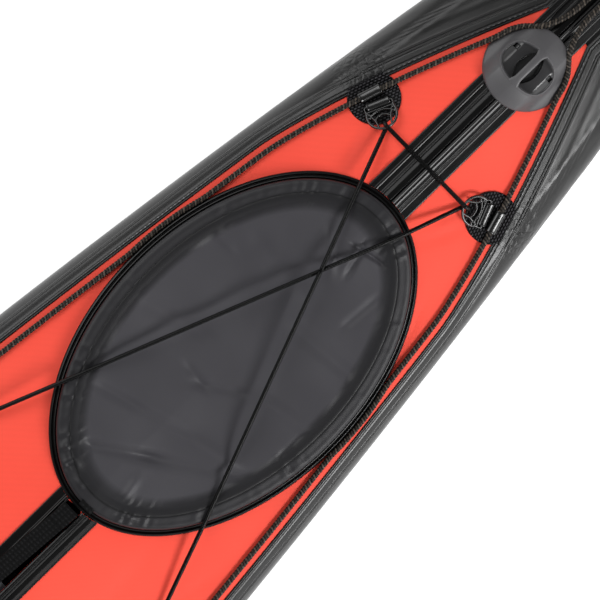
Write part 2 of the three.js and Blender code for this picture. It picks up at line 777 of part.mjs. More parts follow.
function makeHatch() {
  const bead = collar_start / 4;
  const profile = [
    [0, -rail_height], [0, flange_height], [bead, flange_height + groove_height / 2],
    [bead + groove_height, groove_height], [collar_start / 2, bead_height], [bead * 3 - groove_height, bead_height],
    [bead * 3, flange_height], [collar_start, flange_height], [collar_start, collar_height],
    [rim_width, collar_height], [rim_width, -rail_height],
  ];
  const angles = steps(rim_count).map((i) => 2 * Math.PI * i / rim_count);
  const rim = loft(angles.map((angle) => profile.map(([d, h]) => rimPoint(angle, d, h))), true);
  add('hatch_rim', 'rail', seated(solidOf(rim)));

  const skirt_out = collar_start - running_gap - cover_thickness;
  const skirt_in = collar_start - running_gap;
  const skirt_foot = flange_height + running_gap;
  const crest = collar_height + fit_gap + cover_thickness;
  const centre_z = (deckZ(hatch_x, hatch_width / 2) + deckZ(hatch_front, 0)) / 2 + collar_height - cover_sag;
  const panel = (angle, share, drop) => {
    const edge = rimPoint(angle, rim_width + hem_width, crest);
    const fold = fold_height * (1 - share) * share * 4 * Math.sin(3 * angle + share * 5);
    const across = 1 - share ** 2;
    return point(
      lerp(hatch_x, edge.x, share), edge.y * share,
      lerp(edge.z, centre_z, across) + fold - drop);
  };
  const rows = angles.map((angle) => {
    const top = [rimPoint(angle, skirt_out, skirt_foot), rimPoint(angle, skirt_out, crest - cover_thickness),
      rimPoint(angle, collar_start, crest), rimPoint(angle, rim_width + cover_thickness, crest)];
    const under = [rimPoint(angle, rim_width + cover_thickness, crest - cover_thickness),
      rimPoint(angle, skirt_in, crest - cover_thickness), rimPoint(angle, skirt_in, skirt_foot)];
    return { top: [...top, panel(angle, 1, 0), ...cover_ring_shares.map((s) => panel(angle, s, 0))],
      under: [...cover_ring_shares.map((s) => panel(angle, s, cover_thickness)).reverse(),
        panel(angle, 1, cover_thickness), ...under] };
  });
  add('hatch_cover', 'grey_cover', solidOf(polarBody(rows, centre_z, cover_thickness)));
}

// A closed sheet from spokes: each has its upper points going in and its under points coming out.
function polarBody(rows, centre_z, thickness) {
  const count = rows.length;
  const size = rows[0].top.length + rows[0].under.length;
  const positions = rows.flatMap((row) => [...row.top, ...row.under]).flatMap((p) => [p.x, p.y, p.z]);
  const inner = rows[0].top.length - 1;
  const centre = count * size;
  positions.push(hatch_x, 0, centre_z, hatch_x, 0, centre_z - thickness);
  const index = [];
  for (const i of steps(count)) {
    const a = i * size;
    const b = ((i + 1) % count) * size;
    for (const j of steps(size)) {
      const k = (j + 1) % size;
      if (j !== inner) index.push(a + j, b + j, b + k, a + j, b + k, a + k);
    }
    index.push(a + inner, b + inner, centre, a + inner + 1, centre + 1, b + inner + 1);
  }
  const geometry = new THREE.BufferGeometry();
  geometry.setAttribute('position', new THREE.Float32BufferAttribute(positions, 3));
  geometry.setIndex(index);
  return outward(geometry);
}

// Cockpit coaming: wall, outward lip and foot in one moulding

function makeCoaming() {
  const wall = coaming_wall;
  const lip = wall + coaming_lip;
  const under = coaming_height - wall;
  const profile = [
    [0, -rail_height], [0, under], [wall, coaming_height], [lip, under], [lip, under - 2 * wall],
    [lip - wall, under - wall], [wall, under - wall],
    [wall, wall], [wall + coaming_foot, wall / 2], [wall + coaming_foot, -rail_height],
  ];
  const rings = steps(coaming_count).map((i) => {
    const angle = 2 * Math.PI * i / coaming_count;
    return profile.map(([out, up]) => {
      const [x, y] = ovalPoint(cockpit, angle, out);
      const [bx, by] = ovalPoint(cockpit, angle, Math.min(out, wall + coaming_foot));
      return point(x, y, deckZ(bx, by) + up);
    });
  });
  add('cockpit_coaming', 'plastic', seated(solidOf(loft(rings, true))));
}

// Frame: pipes that follow the skin and land on the stem plates

// A pipe open at both ends, its rings square to X.
function pipe(xs, centre, radius, wall = frame_wall) {
  const ring = (x, size) => steps(frame_sides_count).map((i) => {
    const angle = 2 * Math.PI * (i + 1 / 2) / frame_sides_count;
    const [y, z] = centre(x);
    return point(x, y + size * Math.cos(angle), z + size * Math.sin(angle));
  });
  const outside = xs.map((x) => ring(x, radius));
  const inside = xs.map((x) => ring(x, radius - wall)).reverse();
  return solidOf(loft([...outside, ...inside], true));
}

function bar(xs, centre, radius) {
  return solidOf(loft(xs.map((x) => steps(frame_sides_count).map((i) => {
    const angle = 2 * Math.PI * (i + 1 / 2) / frame_sides_count;
    const [y, z] = centre(x);
    return point(x, y + radius * Math.cos(angle), z + radius * Math.sin(angle));
  }))));
}

const chine_corner = 1 + deck_shares.length + arc_count + 1 + 1;
const last_rib = Math.max(...Object.values(rib_places));
const towardStem = (x) => smooth(last_rib, frame_end, Math.abs(x));

const keelLine = (x) => [0, section(x)[section(x).length / 2 | 0][1] + skin_thickness + fit_gap + keel_tube_radius];
const ridgeLine = (x) => [0, section(x)[0][1] - skin_thickness - 2 * fit_gap - ridge_tube_radius];
const chineLine = (x) => {
  const [y, z] = section(x, -skin_thickness - running_gap - fit_gap - chine_tube_radius)[chine_corner];
  return [lerp(y, stem_landing, towardStem(x)), z + chine_tube_radius * towardStem(x)];
};
const gunwaleLine = (x) => {
  const angle = radians(gunwale_angle_deg);
  const reach = airRadius(x) + running_gap + side_tube_radius;
  const y = halfBeam(x) - sideRadius(x) + reach * Math.cos(angle);
  const z = sheerHeight(x) + reach * Math.sin(angle);
  return [lerp(y, stem_landing, towardStem(x)), z - side_tube_radius * towardStem(x)];
};

const frameSteps = (x0, x1) => steps(frame_steps_count + 1).map((i) => lerp(x0, x1, i / frame_steps_count));

const frame_tubes = [
  ['keel_tube', places(-frame_end, frame_end).filter((_, i) => i % 2 === 0), keelLine, keel_tube_radius, false],
  ['gunwale_tube', frameSteps(-frame_end, frame_end), gunwaleLine, side_tube_radius, true],
  ['chine_tube', frameSteps(-frame_end, frame_end), chineLine, chine_tube_radius, true],
  ['fore_ridge_tube', places(ridge_fore_start, frame_end), ridgeLine, ridge_tube_radius, false],
  ['aft_ridge_tube', places(-frame_end, -ridge_aft_start), ridgeLine, ridge_tube_radius, false],
];

// Every tube swollen by a clearance, for cutting the notches that it snaps into.
function tubeClearance() {
  return frame_tubes.map(([, xs, line, radius, paired]) => {
    const swollen = bar(xs, line, radius + fit_gap);
    return paired ? swollen.add(mirrored(swollen)) : swollen;
  }).reduce((all, one) => all.add(one));
}

function makeFrame() {
  for (const [name, xs, line, radius, paired] of frame_tubes) {
    const tube = pipe(xs, line, radius);
    add(paired ? `left_${name}` : name, 'aluminium', tube);
    if (paired) add(`right_${name}`, 'aluminium', mirrored(tube));
  }
  const notches = tubeClearance();
  const air = airForm(-fit_gap);
  const side_tubes = air.add(mirrored(air));

  for (const [name, x] of Object.entries(rib_places)) {
    const slab = box(x - rib_thickness / 2, x + rib_thickness / 2, -hull_beam, hull_beam, 0, high);
    const centre = halfBeam(x) - sideRadius(x);
    const height = sheerHeight(x);
    const blocks = [1, -1].map((side) => box(
      x - rib_thickness, x + rib_thickness,
      Math.min(side * centre, side * hull_beam), Math.max(side * centre, side * hull_beam),
      height - sideRadius(x), high));
    const half_width = centre - sideRadius(x) - rib_web;
    const low = keelHeight(x) + 2 * keel_tube_radius + rib_web;
    const top = ridgeHeight(x) - 2 * ridge_tube_radius - rib_web;
    const hole = steps(rib_hole_count).map((i) => {
      const angle = 2 * Math.PI * i / rib_hole_count;
      const power = 2 / rib_hole_power_share;
      const c = Math.cos(angle);
      const s = Math.sin(angle);
      return [half_width * Math.sign(c) * Math.abs(c) ** power,
        (low + top) / 2 + (top - low) / 2 * Math.sign(s) * Math.abs(s) ** power];
    });
    const hole_shape = loft([-1, 1].map((end) => hole.map(([y, z]) => point(x + end * rib_thickness, y, z))));
    const rib = slab.intersect(inside_skin).subtract(blocks[0]).subtract(blocks[1]).subtract(side_tubes)
      .subtract(notches).subtract(solidOf(hole_shape));
    add(name, 'board', largestPart(rib));
  }

  for (const [name, side] of [['bow_stem', 1], ['stern_stem', -1]]) {
    const half = stem_plate_thickness / 2;
    const [x0, x1] = [side * stem_plate_start, side * half_length].sort((a, b) => a - b);
    const hole = rod(point(side * stem_hole_x, 0, stem_hole_z), point(0, 1, 0), stem_hole_radius,
      stem_plate_thickness * 2, round_count);
    const plate = box(x0, x1, -half, half, 0, high).intersect(inside_skin).subtract(notches).subtract(hole);
    add(name, 'board', largestPart(plate));
  }
}

// The biggest of the separate bodies that a cut leaves, without its offcuts.
function largestPart(solid) {
  return solid.decompose().reduce((best, part) => (part.volume() > best.volume() ? part : best));
}

// Moulded tow eye: a soft disc draped over the closure rails, with a finger bar between two pockets

function makeTowEye(name, x0) {
  const drape = (y) => tow_eye_drape * (1 - smooth(drape_flat_share, drape_end_share, Math.abs(y) / rail_half_width));
  const top = (share, angle) => {
    const x = x0 + tow_eye_radius * share * Math.cos(angle);
    const y = tow_eye_radius * share * Math.sin(angle);
    return point(x, y, deckZ(x, y) + drape(y) + tow_eye_edge + tow_eye_dome * (1 - share ** 2));
  };
  const angles = steps(tow_eye_count).map((i) => 2 * Math.PI * i / tow_eye_count);
  const rings = tow_ring_shares.map((share) => angles.map((angle) => top(share, angle)));
  const foot = angles.map((angle) => {
    const edge = top(1, angle);
    return point(edge.x, edge.y, deckZ(edge.x, edge.y) - tow_eye_edge * 2);
  });
  const disc = solidOf(loft([...rings, foot]));
  const crest = deckZ(x0, 0) + tow_eye_drape + tow_eye_edge + tow_eye_dome;
  const bowl = solidOf(new THREE.SphereGeometry(1, round_count, round_count / 2)
    .scale(pocket_length / 2, pocket_reach, pocket_depth).translate(x0, 0, crest));
  const bridge = box(x0 - pocket_length, x0 + pocket_length, -bar_width / 2, bar_width / 2, 0, high);
  const way = rod(point(x0, 0, crest - bar_depth - line_way_radius), point(0, 1, 0), line_way_radius,
    pocket_reach, round_count / 2);
  const far_side = rail_envelope_shares.map(([out, up]) => [-out, up]).reverse();
  const under = railForm([...rail_envelope_shares, ...far_side], 1, x0 - 2 * tow_eye_radius, x0 + 2 * tow_eye_radius);
  const fitting = seated(disc).subtract(under.translate([0, 0, fit_gap])).subtract(bowl.subtract(bridge))
    .subtract(way);
  add(name, 'rubber', largestPart(fitting));
}

// Deck frames: a place on the deck with its local normal, turned to a heading

function deckFrame(x, y, heading_deg, height) {
  const reach = patch_radius / 2;
  const slopeX = (deckZ(x + reach, y) - deckZ(x - reach, y)) / (2 * reach);
  const slopeY = (deckZ(x, y + reach) - deckZ(x, y - reach)) / (2 * reach);
  const normal = point(-slopeX, -slopeY, 1).normalize();
  const heading = point(Math.cos(radians(heading_deg)), Math.sin(radians(heading_deg)), 0);
  const along = heading.addScaledVector(normal, -heading.dot(normal)).normalize();
  const across = normal.clone().cross(along);
  const place = point(x, y, deckZ(x, y)).addScaledVector(normal, height);
  return { place, along, across, normal };
}

const frameMatrix = ({ place, along, across, normal }) =>
  new THREE.Matrix4().makeBasis(along, across, normal).setPosition(place);

// D-ring: straight bar at x = 0, rounded eye ahead, an inner bow between the bar and the eye
const patch_lift = patch_thickness + fit_gap;
const ring_seat = patch_thickness + fit_gap + sleeve_wall / 2 + ring_bar / 2;

function ringOutline(inset) {
  const radius = ring_width / 2 - inset;
  const centre = ring_length - ring_bar / 2 - ring_width / 2;
  const arc = steps(round_count / 2 + 1).map((i) => {
    const angle = lerp(-Math.PI / 2, Math.PI / 2, i / (round_count / 2));
    return [centre + radius * Math.cos(angle), radius * Math.sin(angle)];
  });
  return [[-ring_bar / 2 + inset, -radius], ...arc, [-ring_bar / 2 + inset, radius]];
}

function ringSolid(seat) {
  const frame = deckFrame(seat.x, seat.y, seat.heading_deg, ring_seat);
  const place = (raw) => {
    const geometry = geometryOf(raw);
    geometry.rotateY(radians(-ring_tilt_deg));
    geometry.applyMatrix4(frameMatrix(frame));
    return solidOf(geometry);
  };
  const half = ring_bar / 2;
  const inner_bow = ring_length - ring_bar - ring_slot * 2 - ring_bar;
  const plate = prism(ringOutline(0), -half, half);
  const opening = prism(ringOutline(ring_bar), -ring_bar, ring_bar);
  const bow = ring_width / 2;
  const bow_band = prism(steps(7).map((i) => {
    const angle = lerp(-Math.PI / 2, Math.PI / 2, i / 6);
    return [inner_bow * Math.cos(angle), bow * Math.sin(angle)];
  }), -half, half).subtract(prism(steps(7).map((i) => {
    const angle = lerp(-Math.PI / 2, Math.PI / 2, i / 6);
    return [(inner_bow - ring_bar) * Math.cos(angle) - fit_gap, (bow - ring_bar) * Math.sin(angle)];
  }), -ring_bar, ring_bar));
  return place(plate.subtract(opening).add(bow_band.intersect(plate)));
}

// Webbing patch: a half-round base under the seam, a sleeve for the safety line and one for the ring's bar

function patchSolid(centre, ring, line_y, turn) {
  const base = steps(round_count).map((i) => {
    const angle = 2 * Math.PI * i / round_count;
    return [centre.x + patch_radius * Math.cos(angle), centre.y + patch_radius * Math.sin(angle)];
  });
  const outline = turn(prism(base, mid_height, high)).intersect(deckPlan(-running_gap));
  let patch = sheetOver(outline, patch_thickness);
  const sleeve = (frame, radius, length) => {
    const outer_radius = radius + sleeve_wall;
    return [rod(frame.place, frame.along, outer_radius, length, round_count / 2),
      rod(frame.place, frame.along, radius, 2 * length, round_count / 2)];
  };
  const slope = (deckEdge(centre.x + 1) - deckEdge(centre.x - 1)) / 2;
  const line_frame = deckFrame(centre.x, line_y, THREE.MathUtils.radToDeg(Math.atan(slope)), 0);
  line_frame.place.z += lineHeight(centre.x, line_y);
  const parts = [sleeve(line_frame, line_diameter / 2 + 2 * cord_facet_allowance, sleeve_length)];
  if (ring) {
    const ring_frame = deckFrame(ring.x, ring.y, ring.heading_deg + 90, ring_seat);
    parts.push(sleeve(ring_frame, ring_bar * Math.SQRT1_2 + fit_gap * 3, ring_bar_length));
  }
  for (const [outer_sleeve] of parts) patch = patch.add(seated(turn(outer_sleeve)));
  for (const [, bore] of parts) patch = patch.subtract(turn(bore));
  return largestPart(patch);
}

function makeFittings() {
  makeTowEye('bow_tow_eye', tow_eye_x);
  makeTowEye('stern_tow_eye', -tow_eye_x);
  const aft_patch = { x: -fore_patch.x, y: fore_patch.y };
  const patches = [['fore', fore_patch, fore_ring], ['middle', middle_patch, middle_ring], ['aft', aft_patch, null]];
  for (const [name, patch, ring] of patches) {
    add(`${name}_left_patch`, 'webbing', patchSolid(patch, ring, linePlan(patch.x), (solid) => solid));
    add(`${name}_right_patch`, 'webbing', patchSolid(patch, ring, linePlan(patch.x), mirrored));
    if (!ring) continue;
    const ring_solid = ringSolid(ring);
    add(`${name}_left_d_ring`, 'plastic', ring_solid);
    add(`${name}_right_d_ring`, 'plastic', mirrored(ring_solid));
  }
}

// Straps and cords

// A flat band of even width along a path of points, folded wherever the path folds.
function ribbon(path, width, thickness) {
  const across = point(0, 1, 0);
  return solidOf(loft(path.map((p, i) => {
    const before = path[Math.max(i - 1, 0)];
    const after = path[Math.min(i + 1, path.length - 1)];
    const tangent = after.clone().sub(before).normalize();
    const normal = tangent.clone().cross(across).normalize();
    const bend = i > 0 && i < path.length - 1
      ? p.clone().sub(before).normalize().dot(after.clone().sub(p).normalize()) : 1;
    const reach = thickness / 2 / Math.sqrt((1 + bend) / 2);
    return [[1, 1], [1, -1], [-1, -1], [-1, 1]].map(([a, b]) =>
      p.clone().addScaledVector(normal, a * reach).addScaledVector(across, b * width / 2));
  })));
}

// A round cord along a path of points, its rings carried along without twist.
function cordAlong(path, radius, sides) {
  const tangents = path.map((p, i) => {
    const before = path[Math.max(i - 1, 0)];
    const after = path[Math.min(i + 1, path.length - 1)];
    return after.clone().sub(before).normalize();
  });
  const normal = point(0, 0, 1);
  const rings = path.map((p, i) => {
    const t = tangents[i];
    normal.addScaledVector(t, -normal.dot(t)).normalize();
    const side = t.clone().cross(normal);
    return steps(sides).map((k) => {
      const angle = 2 * Math.PI * (k + 1 / 2) / sides;
      return p.clone().addScaledVector(normal, radius * Math.cos(angle)).addScaledVector(side, radius * Math.sin(angle));
    });
  });
  return solidOf(loft(rings));
}

// Part of a circle around a centre, in the plane of two directions.
const arcPoints = (centre, a, b, radius, from_deg, to_deg, count) => steps(count + 1).map((i) => {
  const angle = radians(lerp(from_deg, to_deg, i / count));
  return centre.clone().addScaledVector(a, radius * Math.cos(angle)).addScaledVector(b, radius * Math.sin(angle));
});

const rail_top = rail_height + fit_gap;

function strapY(x) {
  const share = (hatch_back - strap_end_clear - x) / (hatch_back - cockpit_front);
  const i = Math.max(1, strap_route_shares.findIndex(([s]) => s >= share));
  const [s0, y0] = strap_route_shares[i - 1];
  const [s1, y1] = strap_route_shares[i];
  return strap_drift * lerp(y0, y1, THREE.MathUtils.clamp((share - s0) / (s1 - s0), 0, 1));
}

const strapPoint = (x, up) => point(x, strapY(x), deckZ(x, 0) + strap_lift_share * rail_top + strap_thickness / 2 + up);

// Flat plate with rounded corners in plan, between two heights.
function roundedPlate(x0, x1, y0, y1, corner, z0, z1) {
  const outline = [
    [x0 + corner, y0], [x1 - corner, y0], [x1, y0 + corner], [x1, y1 - corner],
    [x1 - corner, y1], [x0 + corner, y1], [x0, y1 - corner], [x0, y0 + corner],
  ];
  return prism(outline, z0, z1);
}

function makeStrap() {
  const fold = strap_thickness + fit_gap;
  const socket_back = socket_x - socket_length / 2;
  const socket_front = socket_x + socket_length / 2;
  const base = strapPoint(socket_front + plug_length + plug_travel, 0).z - strap_thickness / 2;
  const middle = strapY(socket_x);
  const level = (x, up) => point(x, middle, base + up);
  const half = socket_width / 2;
  const wall = (socket_width - strap_width) / 2 - prong_wall_clear;

  const way_low = base + way_floor;
  const way_high = way_low + strap_thickness + 2 * running_gap;
  const prong_low = way_high + prong_floor;
  const prong_high = prong_low + prong_height;
  const body = roundedPlate(socket_back, socket_front, middle - half, middle + half, wall * 2, base,
    base + socket_height);
  const cavity = box(socket_back + socket_bar * 4, socket_front + overrun, middle - half + wall, middle + half - wall,
    prong_low - running_gap, prong_high + running_gap);
  const windows = box(socket_front - prong_length + prong_width, socket_front - prong_width * 1.5,
    middle - socket_width, middle + socket_width, prong_low, prong_high);
  const slot = box(socket_back + socket_bar, socket_back + socket_bar * 3, middle - strap_width / 2 - running_gap,
    middle + strap_width / 2 + running_gap, base - overrun, base + overrun);
  add('buckle_socket', 'plastic', body.subtract(cavity).subtract(windows).subtract(slot));

  const plug_back = socket_front + running_gap;
  const plug_body = roundedPlate(plug_back, plug_back + plug_length, middle - half, middle + half, wall * 2, base,
    base + socket_height);
  const way = box(plug_back - overrun, plug_back + overrun, middle - strap_width / 2 - running_gap,
    middle + strap_width / 2 + running_gap, way_low, way_high);
  const reach = half - wall - running_gap;
  const tip = plug_back - prong_length;
  const prongs = prism([
    [plug_back + prong_width, -reach], [plug_back + prong_width, reach], [tip + prong_width, reach],
    [tip, reach - prong_width], [tip + prong_width, reach - prong_width], [plug_back, reach - prong_width],
    [plug_back, prong_width / 2], [tip + prong_width / 2, prong_width / 2],
    [tip + prong_width / 2, -prong_width / 2], [plug_back, -prong_width / 2],
    [plug_back, prong_width - reach], [tip + prong_width, prong_width - reach],
    [tip, prong_width - reach], [tip + prong_width, -reach],
  ].map(([x, y]) => [x, y + middle]), prong_low, prong_high);
  add('buckle_plug', 'plastic', plug_body.subtract(way).add(prongs));

  const front_end = hatch_back - strap_end_clear;
  const run = places(plug_back + plug_length + plug_travel * 2, front_end - strap_fold_length).reverse();
  const front = [
    strapPoint(front_end - strap_fold_length, fold), strapPoint(front_end, fold),
    strapPoint(front_end + fold / 2, fold / 2), strapPoint(front_end, 0), ...run.map((x) => strapPoint(x, 0)),
    level(plug_back + plug_length + plug_travel, way_floor + running_gap + strap_thickness / 2),
    level(plug_back + plug_length / 4, way_floor + running_gap + strap_thickness / 2),
  ];
  add('tension_strap_front', 'webbing', ribbon(front, strap_width, strap_thickness));

  const bar_x = socket_back + socket_bar / 2;
  const wrap = Math.hypot(socket_bar, socket_height) / 2 + fit_gap + strap_thickness / 2;
  const centre = point(bar_x, middle, base + socket_height / 2);
  const loop = arcPoints(centre, point(1, 0, 0), point(0, 0, 1), wrap, 250, 470, 8);
  const cockpit_end = cockpit_front + coaming_wall + coaming_foot + strap_end_clear;
  const back_run = places(cockpit_end, socket_back - socket_length).reverse();
  const rear = [...loop.reverse().map((p) => p), ...back_run.map((x) => strapPoint(x, 0)),
    strapPoint(cockpit_end - fold / 2, fold / 2), strapPoint(cockpit_end, fold),
    strapPoint(cockpit_end + strap_fold_length, fold)];
  add('tension_strap_rear', 'webbing', ribbon(rear, strap_width, strap_thickness));
}

// Line anchors: a webbing loop over the rails at each end, with a way for each safety line
function makeLineAnchors() {
  const height = rail_top + line_lift;
  for (const [name, side] of [['bow_line_anchor', 1], ['stern_line_anchor', -1]]) {
    const x = side * line_anchor_x;
    const half = line_anchor_length / 2;
    const z = deckZ(line_anchor_x - half, 0) + height;
    const rail = railForm([...rail_envelope_shares, ...rail_envelope_shares.map(([out, up]) => [-out, up]).reverse()],
      1, x - line_anchor_length, x + line_anchor_length).translate([0, 0, fit_gap]);
    const wide = line_anchor_width / 2;
    const raw = prism([[x - half, -wide], [x + half, -wide], [x + half, wide], [x - half, wide]],
      z - rail_top - line_lift, z + line_anchor_height / 2);
    const ways = [1, -1].map((turn) => rod(point(x, turn * line_end_y, z), point(1, 0, 0),
      line_diameter / 2 + cord_facet_allowance, line_anchor_length * 2, round_count / 2 + 1));
    add(name, 'webbing', largestPart(seated(raw).subtract(rail).subtract(ways[0]).subtract(ways[1])));
  }
}

// The safety line's place across the deck, from the patches to the anchor at the end of the boat.
function linePlan(x) {
  const beside = deckEdge(x) - line_inset;
  const off_disc = tow_eye_radius + line_diameter / 2 + line_disc_clear;
  const away = Math.abs(x) - tow_eye_x;
  const around = Math.abs(away) < off_disc ? Math.sqrt(off_disc ** 2 - away ** 2) : 0;
  const into = smooth(tow_eye_x, line_anchor_x - line_anchor_length, Math.abs(x));
  const off_rim = line_diameter / 2 + cord_facet_allowance;
  const from_hatch = Math.min(1, Math.abs(x - hatch_x) / (hatch_length / 2));
  const past_rim = x > hatch_x ? hatch_width / 2 * Math.sqrt(1 - from_hatch ** 2) + off_rim : 0;
  return Math.max(around, from_hatch < 1 ? past_rim : 0, lerp(beside, line_end_y, into));
}

function lineHeight(x, y) {
  const over_rails = 1 - smooth(rail_half_width / 2, rail_half_width * 1.2, Math.abs(y));
  const patches = [fore_patch.x, middle_patch.x, -fore_patch.x];
  const nearest = Math.min(...patches.map((place) => Math.abs(x - place)));
  const over_patch = 1 - smooth(patch_radius, patch_radius + line_ramp, nearest);
  return line_diameter / 2 + cord_facet_allowance + over_patch * patch_lift
    + over_rails * (rail_top + line_lift - line_diameter / 2);
}

function makeCords() {
  const placeLine = (x) => {
    const y = linePlan(x);
    return point(x, y, deckZ(x, y) + lineHeight(x, y));
  };
  const end_z = deckZ(line_anchor_x - line_anchor_length / 2, 0) + rail_top + line_lift;
  const tail = [line_anchor_x - line_anchor_length * 0.8, line_anchor_x].map((x) => point(x, line_end_y, end_z));
  const whole = [
    ...tail.map((p) => point(-p.x, p.y, p.z)).reverse(), ...line_aft_places.map((x) => placeLine(-x)).reverse(),
    ...line_fore_places.map(placeLine), ...tail,
  ];
  const line = cordAlong(whole, line_diameter / 2, line_sides_count);
  add('left_safety_line', 'webbing', line);
  add('right_safety_line', 'webbing', mirrored(line));

  const wrap = ring_bar / 2 + bungee_diameter / 2 + bungee_clear;
  const eye = (seat) => {
    const frame = deckFrame(seat.x, seat.y, seat.heading_deg, ring_seat);
    const tilt = radians(ring_tilt_deg);
    const along = frame.along.clone().multiplyScalar(Math.cos(tilt)).addScaledVector(frame.normal, Math.sin(tilt));
    const normal = frame.normal.clone().multiplyScalar(Math.cos(tilt)).addScaledVector(frame.along, -Math.sin(tilt));
    const centre = frame.place.clone().addScaledVector(along, ring_length - ring_bar);
    return { centre, along, normal };
  };
  const fore_eye = eye(fore_ring);
  const aft_eye = eye(middle_ring);
  const on_cover = (x, y) => deckZ(x, y) + collar_height + fit_gap + cover_thickness + bungee_diameter / 2
    + cord_facet_allowance;
  const flip = (p) => point(p.x, -p.y, p.z);

  // The diagonal from the starboard fore ring to the port middle ring, its fore end low under the eye.
  const start = flip(fore_eye.centre);
  const stop = aft_eye.centre;
  const planAt = (x) => lerp(start.y, stop.y, (start.x - x) / (start.x - stop.x));
  const over = bungee_rest_places.map((x) => point(x, planAt(x), on_cover(x, planAt(x))));
  const crossing_x = lerp(start.x, stop.x, start.y / (start.y - stop.y));
  const [before, after] = [over[1], over[2]];
  const crossing_z = lerp(before.z, after.z, (before.x - crossing_x) / (before.x - after.x));
  const diagonal = (lift) => [over[0], over[1],
    point(crossing_x, 0, crossing_z + lift), over[2], over[3]];

  const knot_end = arcPoints(aft_eye.centre, aft_eye.along, aft_eye.normal, wrap, 270, 180, 4);
  const knot = knot_end[knot_end.length - 1].clone().addScaledVector(aft_eye.normal, knot_diameter);
  const bow_end = arcPoints(fore_eye.centre, fore_eye.along, fore_eye.normal, wrap, 90, 270, 6);
  const rail_point = point(start.x, rail_half_width / 4, deckZ(start.x, 0) + rail_top + bungee_diameter / 2
    + cord_facet_allowance);
  // From the port middle ring over the hatch to starboard, across the bow and back to the starboard middle ring.
  const path = [
    knot, ...knot_end.slice().reverse(), ...diagonal(0).reverse(),
    ...bow_end.slice().reverse().map(flip), flip(rail_point), rail_point, ...bow_end,
    ...diagonal(bungee_diameter + cord_facet_allowance).map(flip), ...knot_end.map(flip), flip(knot),
  ];
  let cord = cordAlong(path, bungee_diameter / 2, bungee_sides_count);
  for (const place of [knot, flip(knot)]) {
    const ball = new THREE.SphereGeometry(knot_diameter / 2, knot_count, knot_count / 2);
    ball.translate(place.x, place.y, place.z);
    cord = cord.add(solidOf(ball));
  }
  add('fore_bungee', 'webbing', cord);
}

// Seat: board on two runners, padded cushion, hinged backrest

const board_low = keel_base + skin_thickness + 2 * keel_tube_radius + seat_board_thickness;
const board_top = board_low + seat_board_thickness;
const board_back = seat_x - seat_board_length / 2;
const board_front = seat_x + seat_board_length / 2;
const hinge_x = board_back + hinge_inset;
const hinge_z = board_top + ear_height;

function makeSeat() {
  const half = seat_board_width / 2;
  const corner = hinge_inset * 2;
  let board = roundedPlate(board_back, board_front, -half, half, corner, board_low, board_top);
  for (const side of [1, -1]) {
    const runner_out = side * (runner_y + runner_width / 2);
    const runner_in = side * (runner_y - runner_width / 2);
    const [y0, y1] = [Math.min(runner_in, runner_out), Math.max(runner_in, runner_out)];
    board = board.add(box(board_back + corner, board_front - corner, y0, y1, 0, board_low + fit_gap));
    const ear = rod(point(hinge_x, side * (half - ear_thickness / 2), hinge_z), point(0, 1, 0), ear_length / 2,
      ear_thickness, round_count);
    const [e0, e1] = [side * (half - ear_thickness), side * half].sort((a, b) => a - b);
    const stalk = box(hinge_x - ear_length / 2, hinge_x + ear_length / 2, e0, e1, board_low, hinge_z);
    board = board.add(ear).add(stalk);
  }
  const pin_hole = rod(point(hinge_x, 0, hinge_z), point(0, 1, 0), hinge_radius + running_gap, seat_board_width * 2,
    round_count);
  add('seat_board', 'board', board.subtract(pin_hole).intersect(inside_skin));

  add('seat_cushion', 'padding', solidOf(cushionBody()));

  const back_inner = half - ear_thickness - running_gap;
  const rows = backrest_rows_count;
  const columns = backrest_columns_count;
  const lean = radians(backrest_lean_deg);
  const place = (u, v, face) => {
    const rise = backrest_clear + (backrest_height - backrest_clear) * v;
    const narrow = 1 - backrest_taper_share * v ** 3 - backrest_taper_share * (1 - v) ** 4;
    const y = backrest_width / 2 * u * narrow;
    const puff = (1 - u ** 4) * (1 - (2 * v - 1) ** 4);
    const wrap = backrest_wrap * v * u ** 2;
    const ahead = wrap + face * (backrest_thickness / 4 + backrest_thickness / 4 * puff);
    return point(hinge_x - rise * Math.sin(lean) + ahead * Math.cos(lean), y,
      hinge_z + rise * Math.cos(lean) + ahead * Math.sin(lean));
  };
  const rings = steps(rows + 1).map((r) => {
    const v = r / rows;
    const front = steps(columns + 1).map((c) => place(2 * c / columns - 1, v, 1));
    const back = steps(columns + 1).map((c) => place(1 - 2 * c / columns, v, -1));
    return [...front, ...back];
  });
  let backrest = solidOf(loft(rings));
  for (const side of [1, -1]) {
    const lug_half = ear_thickness / 2;
    const lug_y = side * (back_inner - lug_half);
    const lug = rod(point(hinge_x, lug_y, hinge_z), point(0, 1, 0), ear_length / 2 - running_gap, ear_thickness,
      round_count);
    const foot = place(side * lug_reach_share, lug_rise_share, 0);
    const corners = [
      [hinge_x - lug_half, hinge_z], [hinge_x + lug_half, hinge_z],
      [foot.x + lug_half, foot.z], [foot.x - lug_half, foot.z],
    ];
    const arm = loft([side * back_inner, foot.y].map((y) => corners.map(([x, z]) => point(x, y, z))));
    const pin = rod(point(hinge_x, side * (half - ear_thickness / 2 - running_gap), hinge_z), point(0, 1, 0),
      hinge_radius, ear_thickness * 2, round_count);
    backrest = backrest.add(lug).add(solidOf(arm)).add(pin);
  }
  add('seat_backrest', 'padding', backrest);
}

